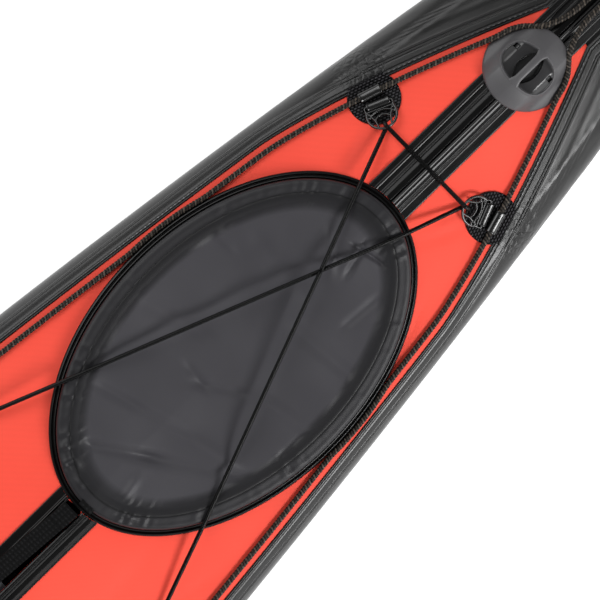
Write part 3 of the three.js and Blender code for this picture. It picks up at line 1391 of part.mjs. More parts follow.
// A stuffed cushion: sides drawn in between the corners, crown in the middle, flat underneath.
function cushionBody() {
  const count = cushion_grid_count;
  const size = count + 1;
  const place = (i, j, top) => {
    const u = 2 * i / count - 1;
    const v = 2 * j / count - 1;
    const drawn_u = 1 - cushion_draw_share * (1 - v ** 4);
    const drawn_v = 1 - cushion_draw_share * (1 - u ** 4);
    const full = Math.sqrt((1 - Math.abs(u) ** cushion_power_share) * (1 - Math.abs(v) ** cushion_power_share));
    const seam = cushion_height * cushion_seam_share;
    const rise = top ? seam + (cushion_height - seam) * full ** cushion_crown_share : seam * (1 - full ** 0.5) * 0.8;
    return [seat_x + cushion_forward + cushion_length / 2 * u * drawn_u, cushion_width / 2 * v * drawn_v,
      board_top + fit_gap + rise];
  };
  const positions = [];
  for (const top of [true, false]) {
    for (const i of steps(size)) for (const j of steps(size)) positions.push(...place(i, j, top));
  }
  const under = size * size;
  const index = [];
  for (const i of steps(count)) {
    for (const j of steps(count)) {
      const a = i * size + j;
      const [b, c, d] = [a + size, a + size + 1, a + 1];
      index.push(a, b, c, a, c, d, under + a, under + c, under + b, under + a, under + d, under + c);
    }
  }
  const border = [
    ...steps(count).map((i) => i * size), ...steps(count).map((j) => count * size + j),
    ...steps(count).map((i) => (count - i) * size + count), ...steps(count).map((j) => count - j),
  ];
  border.forEach((a, i) => {
    const b = border[(i + 1) % border.length];
    index.push(a, under + a, under + b, a, under + b, b);
  });
  const geometry = new THREE.BufferGeometry();
  geometry.setAttribute('position', new THREE.Float32BufferAttribute(positions, 3));
  geometry.setIndex(index);
  return outward(geometry);
}

// Foot rests: a rail clamped to each chine tube, with a pedal that slides along it

function makeFootRests() {
  const [tube_y, tube_z] = chineLine(foot_rail_x);
  const rail_y = tube_y - foot_rail_inboard;
  const rail_z = tube_z + foot_rail_rise;
  const half_length_rail = foot_rail_length / 2;
  const half_width = foot_rail_width / 2;
  const half_height = foot_rail_height / 2;
  let rail = box(foot_rail_x - half_length_rail, foot_rail_x + half_length_rail, rail_y - half_width,
    rail_y + half_width, rail_z - half_height, rail_z + half_height);
  for (const end of [-1, 1]) {
    const x = foot_rail_x + end * (half_length_rail - foot_saddle_inset);
    const half = foot_saddle_length / 2;
    const [y, z] = chineLine(x);
    const grip = chine_tube_radius + foot_rail_width / 2;
    rail = rail.add(box(x - half, x + half, rail_y - half_width, y + grip, z - grip, rail_z + half_height));
  }
  const [, xs, line, radius] = frame_tubes[2];
  rail = rail.subtract(bar(xs, line, radius + fit_gap));
  add('left_foot_rail', 'aluminium', largestPart(rail.intersect(inside_skin)));
  add('right_foot_rail', 'aluminium', largestPart(mirrored(rail).intersect(inside_skin)));

  const bore_y = half_width + running_gap;
  const bore_z = half_height + running_gap;
  const shoe = pedal_shoe_length / 2;
  const x = foot_rail_x;
  const outer_y = bore_y + pedal_wall;
  const outer_z = bore_z + pedal_wall;
  const shoe_box = box(x - shoe, x + shoe, rail_y - outer_y, rail_y + outer_y, rail_z - outer_z, rail_z + outer_z);
  const plate = loft([0, 1].map((up) => {
    const lean = up * pedal_lean;
    const z = rail_z - outer_z + up * pedal_height;
    const outboard = rail_y - half_width - pedal_wall;
    return [
      point(x - shoe + lean, outboard - pedal_width, z), point(x - shoe + pedal_thickness + lean, outboard - pedal_width, z),
      point(x - shoe + pedal_thickness + lean, outboard, z), point(x - shoe + lean, outboard, z),
    ];
  }));
  const bore = box(x - overrun, x + overrun, rail_y - bore_y, rail_y + bore_y, rail_z - bore_z, rail_z + bore_z);
  let pedal = shoe_box.add(solidOf(plate)).subtract(bore);
  for (const i of steps(pedal_relief_count + 1)) {
    const travel = lerp(-pedal_travel, pedal_travel, i / pedal_relief_count);
    pedal = pedal.subtract(bar(xs, line, radius + 2 * running_gap).translate([-travel, 0, 0]));
  }
  pedal = largestPart(pedal);
  add('left_foot_pedal', 'plastic', pedal);
  add('right_foot_pedal', 'plastic', mirrored(pedal));
}

makeSkin();
makeSideTubes();
makeClosures();
makeHatch();
makeCoaming();
makeFrame();
makeFittings();
makeStrap();
makeLineAnchors();
makeCords();
makeSeat();
makeFootRests();

export default kayak;
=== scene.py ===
"""Folding kayak with inflatable side tubes: fabric skin, hatch, deck fittings, cords, seat and frame."""

import json
import math

import bmesh
import bpy
import numpy as np
from mathutils import Matrix, Vector

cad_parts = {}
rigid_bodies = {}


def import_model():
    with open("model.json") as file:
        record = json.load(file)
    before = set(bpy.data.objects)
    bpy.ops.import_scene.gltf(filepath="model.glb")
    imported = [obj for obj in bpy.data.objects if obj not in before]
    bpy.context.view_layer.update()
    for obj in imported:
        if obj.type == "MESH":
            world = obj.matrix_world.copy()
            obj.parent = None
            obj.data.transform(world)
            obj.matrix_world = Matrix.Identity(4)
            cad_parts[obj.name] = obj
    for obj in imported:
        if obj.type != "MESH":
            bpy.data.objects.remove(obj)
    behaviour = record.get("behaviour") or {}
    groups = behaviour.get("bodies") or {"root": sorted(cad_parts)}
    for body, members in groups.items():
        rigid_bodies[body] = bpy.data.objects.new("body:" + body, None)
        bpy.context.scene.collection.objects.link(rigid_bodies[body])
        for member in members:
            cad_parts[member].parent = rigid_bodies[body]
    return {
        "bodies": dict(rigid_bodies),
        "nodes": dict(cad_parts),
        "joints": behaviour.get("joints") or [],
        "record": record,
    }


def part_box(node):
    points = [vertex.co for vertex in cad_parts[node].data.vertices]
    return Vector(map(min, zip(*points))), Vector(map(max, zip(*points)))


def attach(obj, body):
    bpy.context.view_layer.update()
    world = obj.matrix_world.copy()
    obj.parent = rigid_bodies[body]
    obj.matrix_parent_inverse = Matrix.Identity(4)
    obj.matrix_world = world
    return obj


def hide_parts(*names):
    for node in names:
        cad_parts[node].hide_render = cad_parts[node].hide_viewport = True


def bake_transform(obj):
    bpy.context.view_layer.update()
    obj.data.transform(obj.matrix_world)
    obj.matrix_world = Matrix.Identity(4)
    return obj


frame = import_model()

bl_info = {
    "name": "Folding kayak",
    "version": (1, 0, 0),
    "blender": (4, 5, 0),
    "location": "View3D > Sidebar > Kayak",
    "description": "Builds a folding kayak's skins, cords, fittings and finishes round its solid model",
    "category": "Object",
}

NODES = frame["nodes"]

# Hull form, in metres, as the solid model has it
HALF_LENGTH = 2.55
BEAM = 0.64
STEM_HALF = 0.007
SIDE_HEIGHT = 0.182
SIDE_RADIUS = 0.046
TANGENT = math.radians(75)
CREASE = math.radians(-45)
KEEL_BASE = 0.0028
KEEL_FLAT = 0.04
CROWN, ROCKER, STEM_DEPTH = 0.036, 0.022, 0.04
ROCKER_START, STEM_START = 0.27, 0.88
SKIN = 0.0012
SEAM_END = 1.822
SEAM_INSET = 0.0285
SEAM_TAPER = 1.43
HATCH_X, HATCH_A, HATCH_B = 1.217, 0.2835, 0.182
HATCH_FRONT, HATCH_BACK = HATCH_X + HATCH_A, HATCH_X - HATCH_A
COCKPIT_X, COCKPIT_A, COCKPIT_B, COCKPIT_POWER = -0.06, 0.43, 0.215, 2.3
COCKPIT_FRONT, COCKPIT_BACK = COCKPIT_X + COCKPIT_A, COCKPIT_X - COCKPIT_A
RAIL_HALF, RAIL_HEIGHT = 0.035, 0.0096
RAIL_END = 2.33
RAIL_TOP = RAIL_HEIGHT + 0.0003
TOW_X, TOW_RADIUS, TOW_ROLL = 1.745, 0.0565, 0.965
ANCHOR_X = 1.905

# Cords: the safety line's distance inside the seam and from the centreline at its ends, and the pitch and
# relief of its braid; the shock cord's height over the deck where it rests, its lift where it crosses itself,
# how far along a ring it is tied and how far round the ring's wire it runs
LINE_INSET, LINE_END_Y = 0.0105, 0.009
BRAID_PITCH, BRAID_RELIEF = 0.0044, 0.0011
CORD_REST, CORD_LIFT, CORD_REACH, CORD_WRAP = 0.0202, 0.0061, 0.032, 0.0055

# Patches by their centre, D-rings by their bar's centre and their heading in degrees, and the height of a
# ring's bar over the deck
PATCHES = {"fore": (1.579, 0.109), "middle": (0.844, 0.214), "aft": (-1.579, 0.109)}
PATCH_RADIUS = 0.035
RINGS = {"fore": (1.577, 0.0992, 246.0), "middle": (0.846, 0.2007, -21.0)}
RING_SEAT = 0.00505

# The strap and its plug, the deck cloth's lap under the hatch rim, the side tubes' full part, and the stuffed
# pads: size of their mesh, the furthest that a point may end from its start, and the simulated frames
STRAP_Y, PLUG_X = 0.018, 0.6805
HATCH_LAP = 0.0175
TUBE_END = 2.06
PAD_CELL, PAD_GROWTH, PAD_FRAMES = 0.005, 0.004, 20
SIDES = (("left", 1), ("right", -1))
PORT_TO_STARBOARD = np.array([1, -1, 1])

# Studio: the camera's tilt in degrees, what it looks at and from how far; the room's glow at its starboard
# wall, port wall and ceiling, and the soft lamps with their place, size and watts
CAMERA_TILT, CAMERA_AIM, CAMERA_DISTANCE = -4.5, (1.3275, -0.0100, 0.27), 5.0
ROOM_STARBOARD, ROOM_PORT, ROOM_CEILING = 2.2, 0.7, 0.17
LAMPS = (("key", (1.5, -2.8, 2.9), 1.4, 110), ("fill", (1.0, 2.75, 2.85), 3.0, 80))

# Hatch cover: rings of its hem as millimetres in from the rim and up from the deck, with how dark the
# doubled cloth is painted, partly its own darker tone and partly painted shade, deepest at the sewn groove;
# pleats by degrees round the oval, millimetres high and degrees wide; folds and puckers in metres from the
# solid model's origin, with their height as a share of the fold height and half width
HEM = np.array([[10.2, 2.6, 0.9], [9.9, 5.5, 0.9], [9.8, 9, 0.9], [9.9, 12.5, 0.9], [10.4, 15.2, 0.8],
                [11.6, 17.0, 0.6], [13.2, 17.8, 0.8], [15.2, 18.0, 0.74], [17.4, 17.8, 0.72],
                [19, 17.6, 0.72], [21, 17.5, 0.72], [23, 17.5, 0.72], [25, 17.4, 0.74], [26.6, 17.25, 0.8],
                [27.4, 16.95, 0.95], [28, 16.7, 1.0], [28.6, 16.8, 1.0], [29.4, 16.85, 0.9],
                [31, 16.6, 0.86], [33, 16.2, 0.84], [35, 15.6, 0.82], [37, 15.0, 0.8], [39, 14.2, 0.76]])
PLEATS = ((18, 0.7, 1.2), (30, 1.1, 0.8), (34, 0.8, 0.7), (62, 0.5, 1.3), (96, 0.6, 1.0), (119, 0.7, 0.9),
          (124, 1.1, 0.8), (131, 0.7, 0.8), (136, 1.2, 0.9), (150, 0.9, 1.1), (155, 1.5, 1.0),
          (161, 1.2, 1.0), (197, 1.4, 0.9), (201, 1.0, 0.8), (207, 0.8, 0.9), (226, 0.5, 1.2),
          (257, 1.1, 0.8), (262, 0.8, 0.8), (287, 0.5, 1.1), (312, 0.6, 1.0), (338, 1.2, 0.9),
          (343, 1.4, 0.8), (350, 0.8, 1.0))
FOLDS = ((0.995, 0.057, 1.045, -0.018, -0.75, 0.007), (1.045, -0.018, 1.108, -0.112, -0.60, 0.008),
         (1.088, 0.026, 1.113, -0.090, 0.50, 0.010), (1.067, 0.085, 1.101, -0.024, -0.50, 0.007),
         (1.163, 0.023, 1.160, 0.001, -0.40, 0.006), (1.160, 0.001, 1.187, -0.040, -0.45, 0.006),
         (1.429, -0.016, 1.435, -0.042, -0.95, 0.003), (1.429, -0.019, 1.404, -0.026, -0.55, 0.004),
         (1.412, 0.024, 1.387, -0.006, 0.35, 0.006), (1.342, 0.078, 1.332, -0.022, -0.35, 0.012),
         (1.296, -0.040, 1.306, -0.127, -0.45, 0.010), (1.204, -0.078, 1.224, -0.170, 0.40, 0.010),
         (1.183, 0.124, 1.207, 0.046, -0.35, 0.010), (1.171, -0.140, 1.198, -0.141, -0.50, 0.005),
         (0.974, -0.035, 1.005, -0.029, 0.50, 0.006), (1.312, 0.153, 1.312, 0.107, 0.40, 0.006),
         (1.390, -0.078, 1.355, -0.076, -0.40, 0.006))
PUCKERS = ((0.976, 0.066, 0.55, 0.012), (0.979, 0.046, 0.50, 0.010), (0.961, 0.048, -0.45, 0.008),
           (0.995, 0.042, -0.35, 0.011), (0.957, 0.022, 0.35, 0.008), (0.972, -0.060, 0.45, 0.009),
           (0.965, -0.047, -0.45, 0.005), (1.416, -0.014, 0.40, 0.011), (1.439, -0.028, 0.35, 0.008),
           (1.435, -0.052, -0.35, 0.006))

# Hollows of the deck cloth: where they start, how deep and long, their heading in degrees and half width
CREASES = ((1.579, 0.109, 0.0009, 0.11, 200, 0.006), (1.579, -0.109, 0.0009, 0.11, -205, 0.006),
           (1.560, 0.080, 0.0008, 0.07, 236, 0.005), (1.562, -0.078, 0.0009, 0.06, 150, 0.005),
           (0.844, 0.214, 0.0009, 0.16, 175, 0.006), (0.844, -0.214, 0.0009, 0.16, -175, 0.006),
           (1.05, 0.185, 0.0006, 0.12, 12, 0.006), (0.99, -0.19, 0.0011, 0.13, 172, 0.005),
           (0.96, -0.11, 0.0008, 0.12, 186, 0.009), (1.34, -0.165, 0.0008, 0.10, 20, 0.006),
           (-1.579, 0.109, 0.0008, 0.11, -20, 0.006), (-1.579, -0.109, 0.0008, 0.11, 20, 0.006))


# Hull curves as functions of the place along the boat

def share_out(x):
    """Distance from the middle of the boat as a share of its half length."""
    return np.abs(x) / HALF_LENGTH


def half_beam(x):
    """Half width, falling with the 1.6th power of the distance from the middle to the stem's half width."""
    return STEM_HALF + (BEAM / 2 - STEM_HALF) * (1 - share_out(x) ** 1.6)


def side_radius(x):
    """Radius of the rounded side, fading to nothing where the boat gets narrow."""
    fade = np.minimum(1, half_beam(x) / 0.19)
    return SIDE_RADIUS * (1 - (1 - fade) ** 2)


def sheer(x):
    """Height of the side tube's centre: a square curve with a lift of the sixth power at the ends."""
    t = share_out(x)
    return SIDE_HEIGHT + 0.06 * t ** 2 + 0.07 * t ** 6


def ridge(x):
    """Height of the deck's centreline over the tangent point of the rounded side."""
    return sheer(x) + side_radius(x) * math.sin(TANGENT) + CROWN * (1 - share_out(x) ** 3)


def keel(x):
    """Height of the keel: flat, then a square curve of rocker, then the stem's rise."""
    t = share_out(x)
    bend = np.maximum(0, (t - ROCKER_START) / (1 - ROCKER_START)) ** 2
    rise = np.maximum(0, (t - STEM_START) / (1 - STEM_START)) ** 1.8
    end = ridge(HALF_LENGTH) - STEM_DEPTH - ROCKER - KEEL_BASE
    return KEEL_BASE + ROCKER * bend + end * rise


def deck_z(x, y):
    """Height of the deck: a 1.3 power crown out to the tangent point, then the rounded side's circle."""
    x, out = np.broadcast_arrays(np.asarray(x, float), np.abs(np.asarray(y, float)))
    r = side_radius(x)
    centre = half_beam(x) - r
    edge = centre + r * math.cos(TANGENT)
    edge_z = sheer(x) + r * math.sin(TANGENT)
    crown = ridge(x) - (ridge(x) - edge_z) * np.minimum(out / edge, 1) ** 1.3
    arc = sheer(x) + np.sqrt(np.maximum(r ** 2 - (out - centre) ** 2, 0))
    return np.where(out <= edge, crown, arc)


def seam_y(x):
    """Where the red deck panel meets the black skin: 28.5 mm inside the beam, drawn in toward the ends."""
    t = np.maximum(0, (np.abs(x) - SEAM_TAPER) / (SEAM_END - SEAM_TAPER))
    narrowing = half_beam(SEAM_END) - SEAM_INSET - RAIL_HALF
    return half_beam(x) - SEAM_INSET - narrowing * t ** 1.4


def smooth(a, b, v):
    """Smoothstep from 0 at a to 1 at b."""
    t = np.clip((v - a) / (b - a), 0, 1)
    return t * t * (3 - 2 * t)


def oval(angle, x0, a, b, power=2.0):
    """A point on a superellipse of that power round x0."""
    c, s = np.cos(angle), np.sin(angle)
    return x0 + a * np.sign(c) * np.abs(c) ** (2 / power), b * np.sign(s) * np.abs(s) ** (2 / power)


def half_section(x, count=420):
    """One side of the section at each x as (y, z) from the centreline over the deck, round the side to the
    keel. The bottom's height over its width is 0.127 o + 0.392 o^4 + 0.481 o^10, o going from the keel to
    the side."""
    x = np.asarray(x, float)[:, None]
    r = side_radius(x)
    centre = half_beam(x) - r
    edge = centre + r * math.cos(TANGENT)
    y_deck = edge * np.linspace(0, 1, count // 3, endpoint=False)
    z_deck = deck_z(x, y_deck)
    angle = np.linspace(TANGENT, CREASE, count // 3, endpoint=False)
    y_arc, z_arc = centre + r * np.cos(angle), sheer(x) + r * np.sin(angle)
    foot_y, foot_z = centre + r * math.cos(CREASE), sheer(x) + r * math.sin(CREASE)
    flat = np.minimum(KEEL_FLAT, half_beam(x) * 0.4)
    o = np.linspace(1, 0, count - 2 * (count // 3) - 8)
    y_low = flat + (foot_y - flat) * o
    z_low = keel(x) + (foot_z - keel(x)) * (0.1268 * o + 0.3921 * o ** 4 + 0.4811 * o ** 10)
    y_flat = flat * np.linspace(1, 0, 9)[1:]
    z_flat = keel(x) + 0 * y_flat
    return (np.concatenate([y_deck, y_arc, y_low, y_flat], 1),
            np.concatenate([z_deck, z_arc, z_low, z_flat], 1))


def along_rows(query, base, values):
    """Values at each query distance, straight between the samples of the same row."""
    i = np.clip((base[:, None, :] <= query[:, :, None]).sum(-1) - 1, 0, base.shape[1] - 2)
    b0, b1 = np.take_along_axis(base, i, 1), np.take_along_axis(base, i + 1, 1)
    t = (query - b0) / np.maximum(b1 - b0, 1e-9)
    v0, v1 = np.take_along_axis(values, i, 1), np.take_along_axis(values, i + 1, 1)
    return v0 + (v1 - v0) * t


# Mesh helpers

def spots(*parts):
    """Points from coordinates that are broadcast to one shape."""
    return np.stack(np.broadcast_arrays(*parts), -1)


def on_deck(x, y, up=0.0):
    """Points over the deck."""
    return spots(x, y, deck_z(x, y) + up)


def run_along(path):
    """The distance along a path to each of its points."""
    return np.concatenate([[0], np.cumsum(np.linalg.norm(np.diff(path, axis=0), axis=1))])


def unit(v):
    """Vectors scaled to length one."""
    return v / np.maximum(np.linalg.norm(v, axis=-1, keepdims=True), 1e-12)


def resample(path, step=None, soften=0.0, count=None):
    """The path at even steps, or at a count of places, rounded by a Gaussian of the softening length. It is
    mirrored beyond its ends, so that these stay."""
    path = np.asarray(path, float)
    run = run_along(path)
    at = np.linspace(0, run[-1], count or max(3, int(run[-1] / step) + 1))
    out = np.stack([np.interp(at, run, column) for column in path.T], -1)
    if not soften:
        return out
    step = step or at[1]
    reach = int(3 * soften / step) + 1
    kernel = np.exp(-0.5 * (np.arange(-reach, reach + 1) * step / soften) ** 2)
    kernel /= kernel.sum()
    long = np.concatenate([2 * out[0] - out[reach:0:-1], out, 2 * out[-1] - out[-2:-reach - 2:-1]])
    return np.stack([np.convolve(column, kernel, "valid") for column in long.T], -1)


def placed(name, data):
    """A new object in the scene."""
    made = bpy.data.objects.new(name, data)
    bpy.context.scene.collection.objects.link(made)
    return made


def shade(mesh, angle):
    """Smooth shading with edges sharper than the angle kept crisp."""
    mesh.polygons.foreach_set("use_smooth", np.ones(len(mesh.polygons), bool))
    mesh.set_sharp_from_angle(angle=math.radians(angle))


def merge(mesh, distance):
    """Joins the mesh's points that lie closer together than the distance."""
    work = bmesh.new()
    work.from_mesh(mesh)
    bmesh.ops.remove_doubles(work, verts=work.verts, dist=distance)
    work.to_mesh(mesh)
    work.free()


def grid(name, points, outward=(0, 0, 1), wrap=(False, False), caps=False, weld=False, uv=None, angle=50,
         **attributes):
    """A mesh from an n by m array of points: quads between neighbours, with the rows or columns wrapped
    round where asked, flipped if the faces don't look along outward, and each open end of a tube capped."""
    n, m = points.shape[:2]
    rows, cols = n - 1 + wrap[0], m - 1 + wrap[1]
    i, j = np.meshgrid(np.arange(rows), np.arange(cols), indexing="ij")
    corners = ((i, j), (i + 1, j), (i + 1, j + 1), (i, j + 1))
    quads = np.stack([(a % n) * m + b % m for a, b in corners], -1).reshape(-1, 4)
    flat = points.reshape(-1, 3)
    if uv is None:
        step_u = np.linalg.norm(np.diff(points, axis=0, append=points[:1]), axis=2).mean(1)
        step_v = np.linalg.norm(np.diff(points, axis=1, append=points[:, :1]), axis=2).mean(0)
        u, v = (np.concatenate([[0], np.cumsum(step)]) for step in (step_u, step_v))
        uv = spots(u[:, None], v)
    corner_uv = np.stack([uv[a, b] for a, b in corners], -2).reshape(-1, 4, 2)
    p = flat[quads]
    normal = np.cross(p[:, 2] - p[:, 0], p[:, 3] - p[:, 1])
    way = np.broadcast_to(np.asarray(outward, float), points.shape).reshape(-1, 3)[quads[:, 0]]
    flipped = (normal * way).sum() < 0
    if flipped:
        quads, corner_uv = quads[:, ::-1], corner_uv[:, ::-1]
    faces = quads.tolist()
    cap_uv = []
    if caps:
        first, last = list(range(m)), list(range((n - 1) * m, n * m))
        faces += [first, last[::-1]] if flipped else [first[::-1], last]
        cap_uv = [np.zeros((m, 2))] * 2
    mesh = bpy.data.meshes.new(name)
    mesh.from_pydata(flat.tolist(), [], faces)
    layer = mesh.uv_layers.new(name="UVMap")
    layer.data.foreach_set("uv", np.concatenate([corner_uv.reshape(-1, 2), *cap_uv]).ravel())
    for key, values in attributes.items():
        layer = mesh.attributes.new(key, "FLOAT", "POINT")
        layer.data.foreach_set("value", np.ravel(values).astype(np.float32))
    if weld:
        merge(mesh, 2e-6)
    mesh.validate()
    shade(mesh, angle)
    return placed(name, mesh)


def carried(path, profile, up, closed=False):
    """A profile of (across, up) pairs, one for all or one for each point, carried along a path: across
    times the side and up times the normal, the side being square to the path and to the given up."""
    ahead = unit(np.roll(path, -1, 0) - np.roll(path, 1, 0) if closed else np.gradient(path, axis=0))
    side = unit(np.cross(np.broadcast_to(up, path.shape), ahead))
    normal = np.cross(ahead, side)
    return path[:, None, :] + profile[..., :1] * side[:, None, :] + profile[..., 1:] * normal[:, None, :]


def cord(name, path, radius, size, up, closed=False, **attributes):
    """A cord along a path from its size at each point of the path and each place round it."""
    angle = np.linspace(0, 2 * np.pi, size.shape[1], endpoint=False)
    points = carried(path, size[..., None] * spots(np.cos(angle), np.sin(angle)), up, closed)
    run = run_along([*path, path[0]] if closed else path)
    uv = spots(run[:, None], np.linspace(0, 2 * np.pi * radius, size.shape[1] + 1))
    return grid(name, points, points - path[:, None, :], (closed, True), not closed, uv=uv, **attributes)


def tube(name, path, radius, up, sides, closed=False):
    """A round cord along a path, its ends drawn in over their last millimetre."""
    run = run_along(path)
    near = 1 - np.minimum(np.minimum(run, run[-1] - run) / (radius * 0.8), 1)
    size = np.sqrt(np.clip(1 - near ** 2, 0.12, 1)) if not closed else np.ones(len(path))
    return cord(name, path, radius, radius * size[:, None] * np.ones(sides), up, closed)


def braided_tube(name, path, radius, up, sides, pitch, relief):
    """A cord whose two sets of strands wind round it in opposite ways: a point's height is the relief times
    the larger of the two sets' rectified sine waves; the crowns of one set's strands carry a pale tint,
    strongest on every second strand as a paler yarn and weaker on the rest as a painted highlight."""
    run = run_along(path)[:, None]
    turn = np.linspace(0, 2, sides, endpoint=False)
    one, two = run / pitch + turn, run / pitch - turn
    wave_one, wave_two = np.abs(np.sin(np.pi * one)), np.abs(np.sin(np.pi * two))
    size = radius + relief * (np.maximum(wave_one, wave_two) - 0.7)
    # Painted highlight: the crowns of one set's strands are marked pale, weakly on all and fully on the paler
    # marker yarns.
    fleck = (wave_one > wave_two) * smooth(0.5, 0.85, wave_one) * (0.35 + 0.65 * (np.floor(one) % 2 == 0))
    return cord(name, path, radius, size, up, fleck=fleck)


def joined(name, pieces):
    """Several objects made one, with the first one's materials."""
    for piece in pieces:
        piece.select_set(True)
    bpy.context.view_layer.objects.active = pieces[0]
    with bpy.context.temp_override(active_object=pieces[0], selected_editable_objects=pieces):
        bpy.ops.object.join()
    pieces[0].name = pieces[0].data.name = name
    pieces[0].select_set(False)
    return pieces[0]


def thicken(piece, thickness, offset=-1.0):
    """Gives a sheet its wall with a Solidify modifier."""
    wall = piece.modifiers.new("Wall", "SOLIDIFY")
    wall.thickness = thickness
    wall.offset = offset
    return piece


def sheet_area(piece):
    """The area of a piece's own mesh, one side of the sheet."""
    areas = np.empty(len(piece.data.polygons))
    piece.data.polygons.foreach_get("area", areas)
    return float(areas.sum())


def settle(piece, finish, body, stands_for=()):
    """Gives a piece its finish, the body it rides on, and the solids it stands for."""
    piece.data.materials.clear()
    piece.data.materials.append(FINISH[finish])
    if body:
        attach(piece, body)
    if stands_for:
        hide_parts(*stands_for)


def dress(finish, *names):
    """Gives solids from the model their finish."""
    for name in names:
        NODES[name].data.materials.clear()
        NODES[name].data.materials.append(FINISH[finish])


# Materials

def linear(code):
    """An sRGB hex colour as the linear value that the shaders take."""
    channels = [int(code[i:i + 2], 16) / 255 for i in (1, 3, 5)]
    return (*[c / 12.92 if c <= 0.04045 else ((c + 0.055) / 1.055) ** 2.4 for c in channels], 1.0)


class Recipe:
    """A material or world in the making: each method adds a node and returns its output."""

    def __init__(self, made, kind="Material"):
        made.use_nodes = True
        self.made, self.tree = made, made.node_tree
        self.tree.nodes.clear()
        self.out = self.add("Output" + kind)
        places = self.add("TexCoord").outputs
        self.where, self.uv = places["Object"], places["UV"]

    def add(self, kind, inputs=None, **settings):
        """Adds one node with its settings; each input is a value, or another node's output to link."""
        made = self.tree.nodes.new("ShaderNode" + kind)
        for key, value in settings.items():
            setattr(made, key, value)
        for key, value in (inputs or {}).items():
            key = key.replace("_", " ") if isinstance(key, str) else key
            if isinstance(value, bpy.types.NodeSocket):
                self.tree.links.new(value, made.inputs[key])
            else:
                made.inputs[key].default_value = value
        return made

    def mapping(self, vector, **how):
        """Places turned or stretched."""
        return self.add("Mapping", {"Vector": vector, **how}).outputs[0]

    def noise(self, vector, scale, detail, **more):
        """A noise pattern."""
        return self.add("TexNoise", {"Vector": vector, "Scale": scale, "Detail": detail, **more}).outputs[0]

    def wave(self, vector, pitch, direction, **more):
        """A wave pattern at a pitch in metres; the node's own waves are 0.16 apart in its scale."""
        inputs = {"Vector": vector, "Scale": 1 / pitch * 0.16, **more}
        return self.add("TexWave", inputs, bands_direction=direction).outputs["Color"]

    def mark(self, name):
        """A number that the mesh carries at its points."""
        return self.add("Attribute", attribute_name=name).outputs["Fac"]

    def maths(self, operation, *values):
        """A calculation with one to three values."""
        return self.add("Math", dict(enumerate(values)), operation=operation).outputs[0]

    def ranged(self, value, low, high, start=0.0, end=1.0):
        """Low to high where the value goes from start to end."""
        return self.add("MapRange", {0: value, 1: start, 2: end, 3: low, 4: high}).outputs[0]

    def blend(self, share, one, two):
        """A blend of two numbers."""
        return self.add("Mix", {0: share, 2: one, 3: two}, data_type="FLOAT").outputs[0]

    def tint(self, share, one, two):
        """A blend of two colours, each a hex code or an output."""
        one, two = (linear(c) if isinstance(c, str) else c for c in (one, two))
        return self.add("Mix", {0: share, 6: one, 7: two}, data_type="RGBA").outputs[2]

    def bump(self, height, strength, distance, **under):
        """The surface's direction from a height, over another bump if given as Normal."""
        inputs = {"Height": height, "Strength": strength, "Distance": distance, **under}
        return self.add("Bump", inputs).outputs[0]

    def end(self, output):
        """Links the last shader to the output node."""
        self.tree.links.new(output, self.out.inputs["Surface"])
        return self.made

    def finish(self, colour, rough, normal, **sockets):
        """Ends a material with its Principled shader; the plain numbers go straight on the sockets."""
        inputs = {"Base Color": colour, "Roughness": rough, "Normal": normal, **sockets}
        return self.end(self.add("BsdfPrincipled", inputs).outputs[0])


def recipe(name):
    """An empty recipe for a new material."""
    return Recipe(bpy.data.materials.new(name))


def red_coated_nylon():
    """Red polyurethane-coated ripstop nylon: a bright even face with a fine thread and soft hollows."""
    r = recipe("red_coated_nylon")
    # Threads lie 0.35 mm apart; drawn at 2.6 mm, because finer ones vanish at 1.3 mm to the pixel.
    turned = r.mapping(r.where, Rotation=(0, 0, math.radians(-3)))
    thread = r.wave(turned, 0.0026, "DIAGONAL", Distortion=0.6, Detail=1.0, Detail_Scale=2.0)
    cloud = r.noise(r.where, 7.0, 3.0)
    fold = r.noise(r.where, 18.0, 2.0, Distortion=0.4)
    tone = r.tint(cloud, "#f04a39", "#ff5a48")
    colour = r.tint(r.ranged(thread, 0.0, 0.04), tone, "#c92e20")
    fine = r.bump(thread, 0.1, 0.0002, Normal=r.bump(fold, 0.2, 0.003))
    return r.finish(colour, r.ranged(cloud, 0.52, 0.66), fine, IOR=1.46, Specular_IOR_Level=0.2)


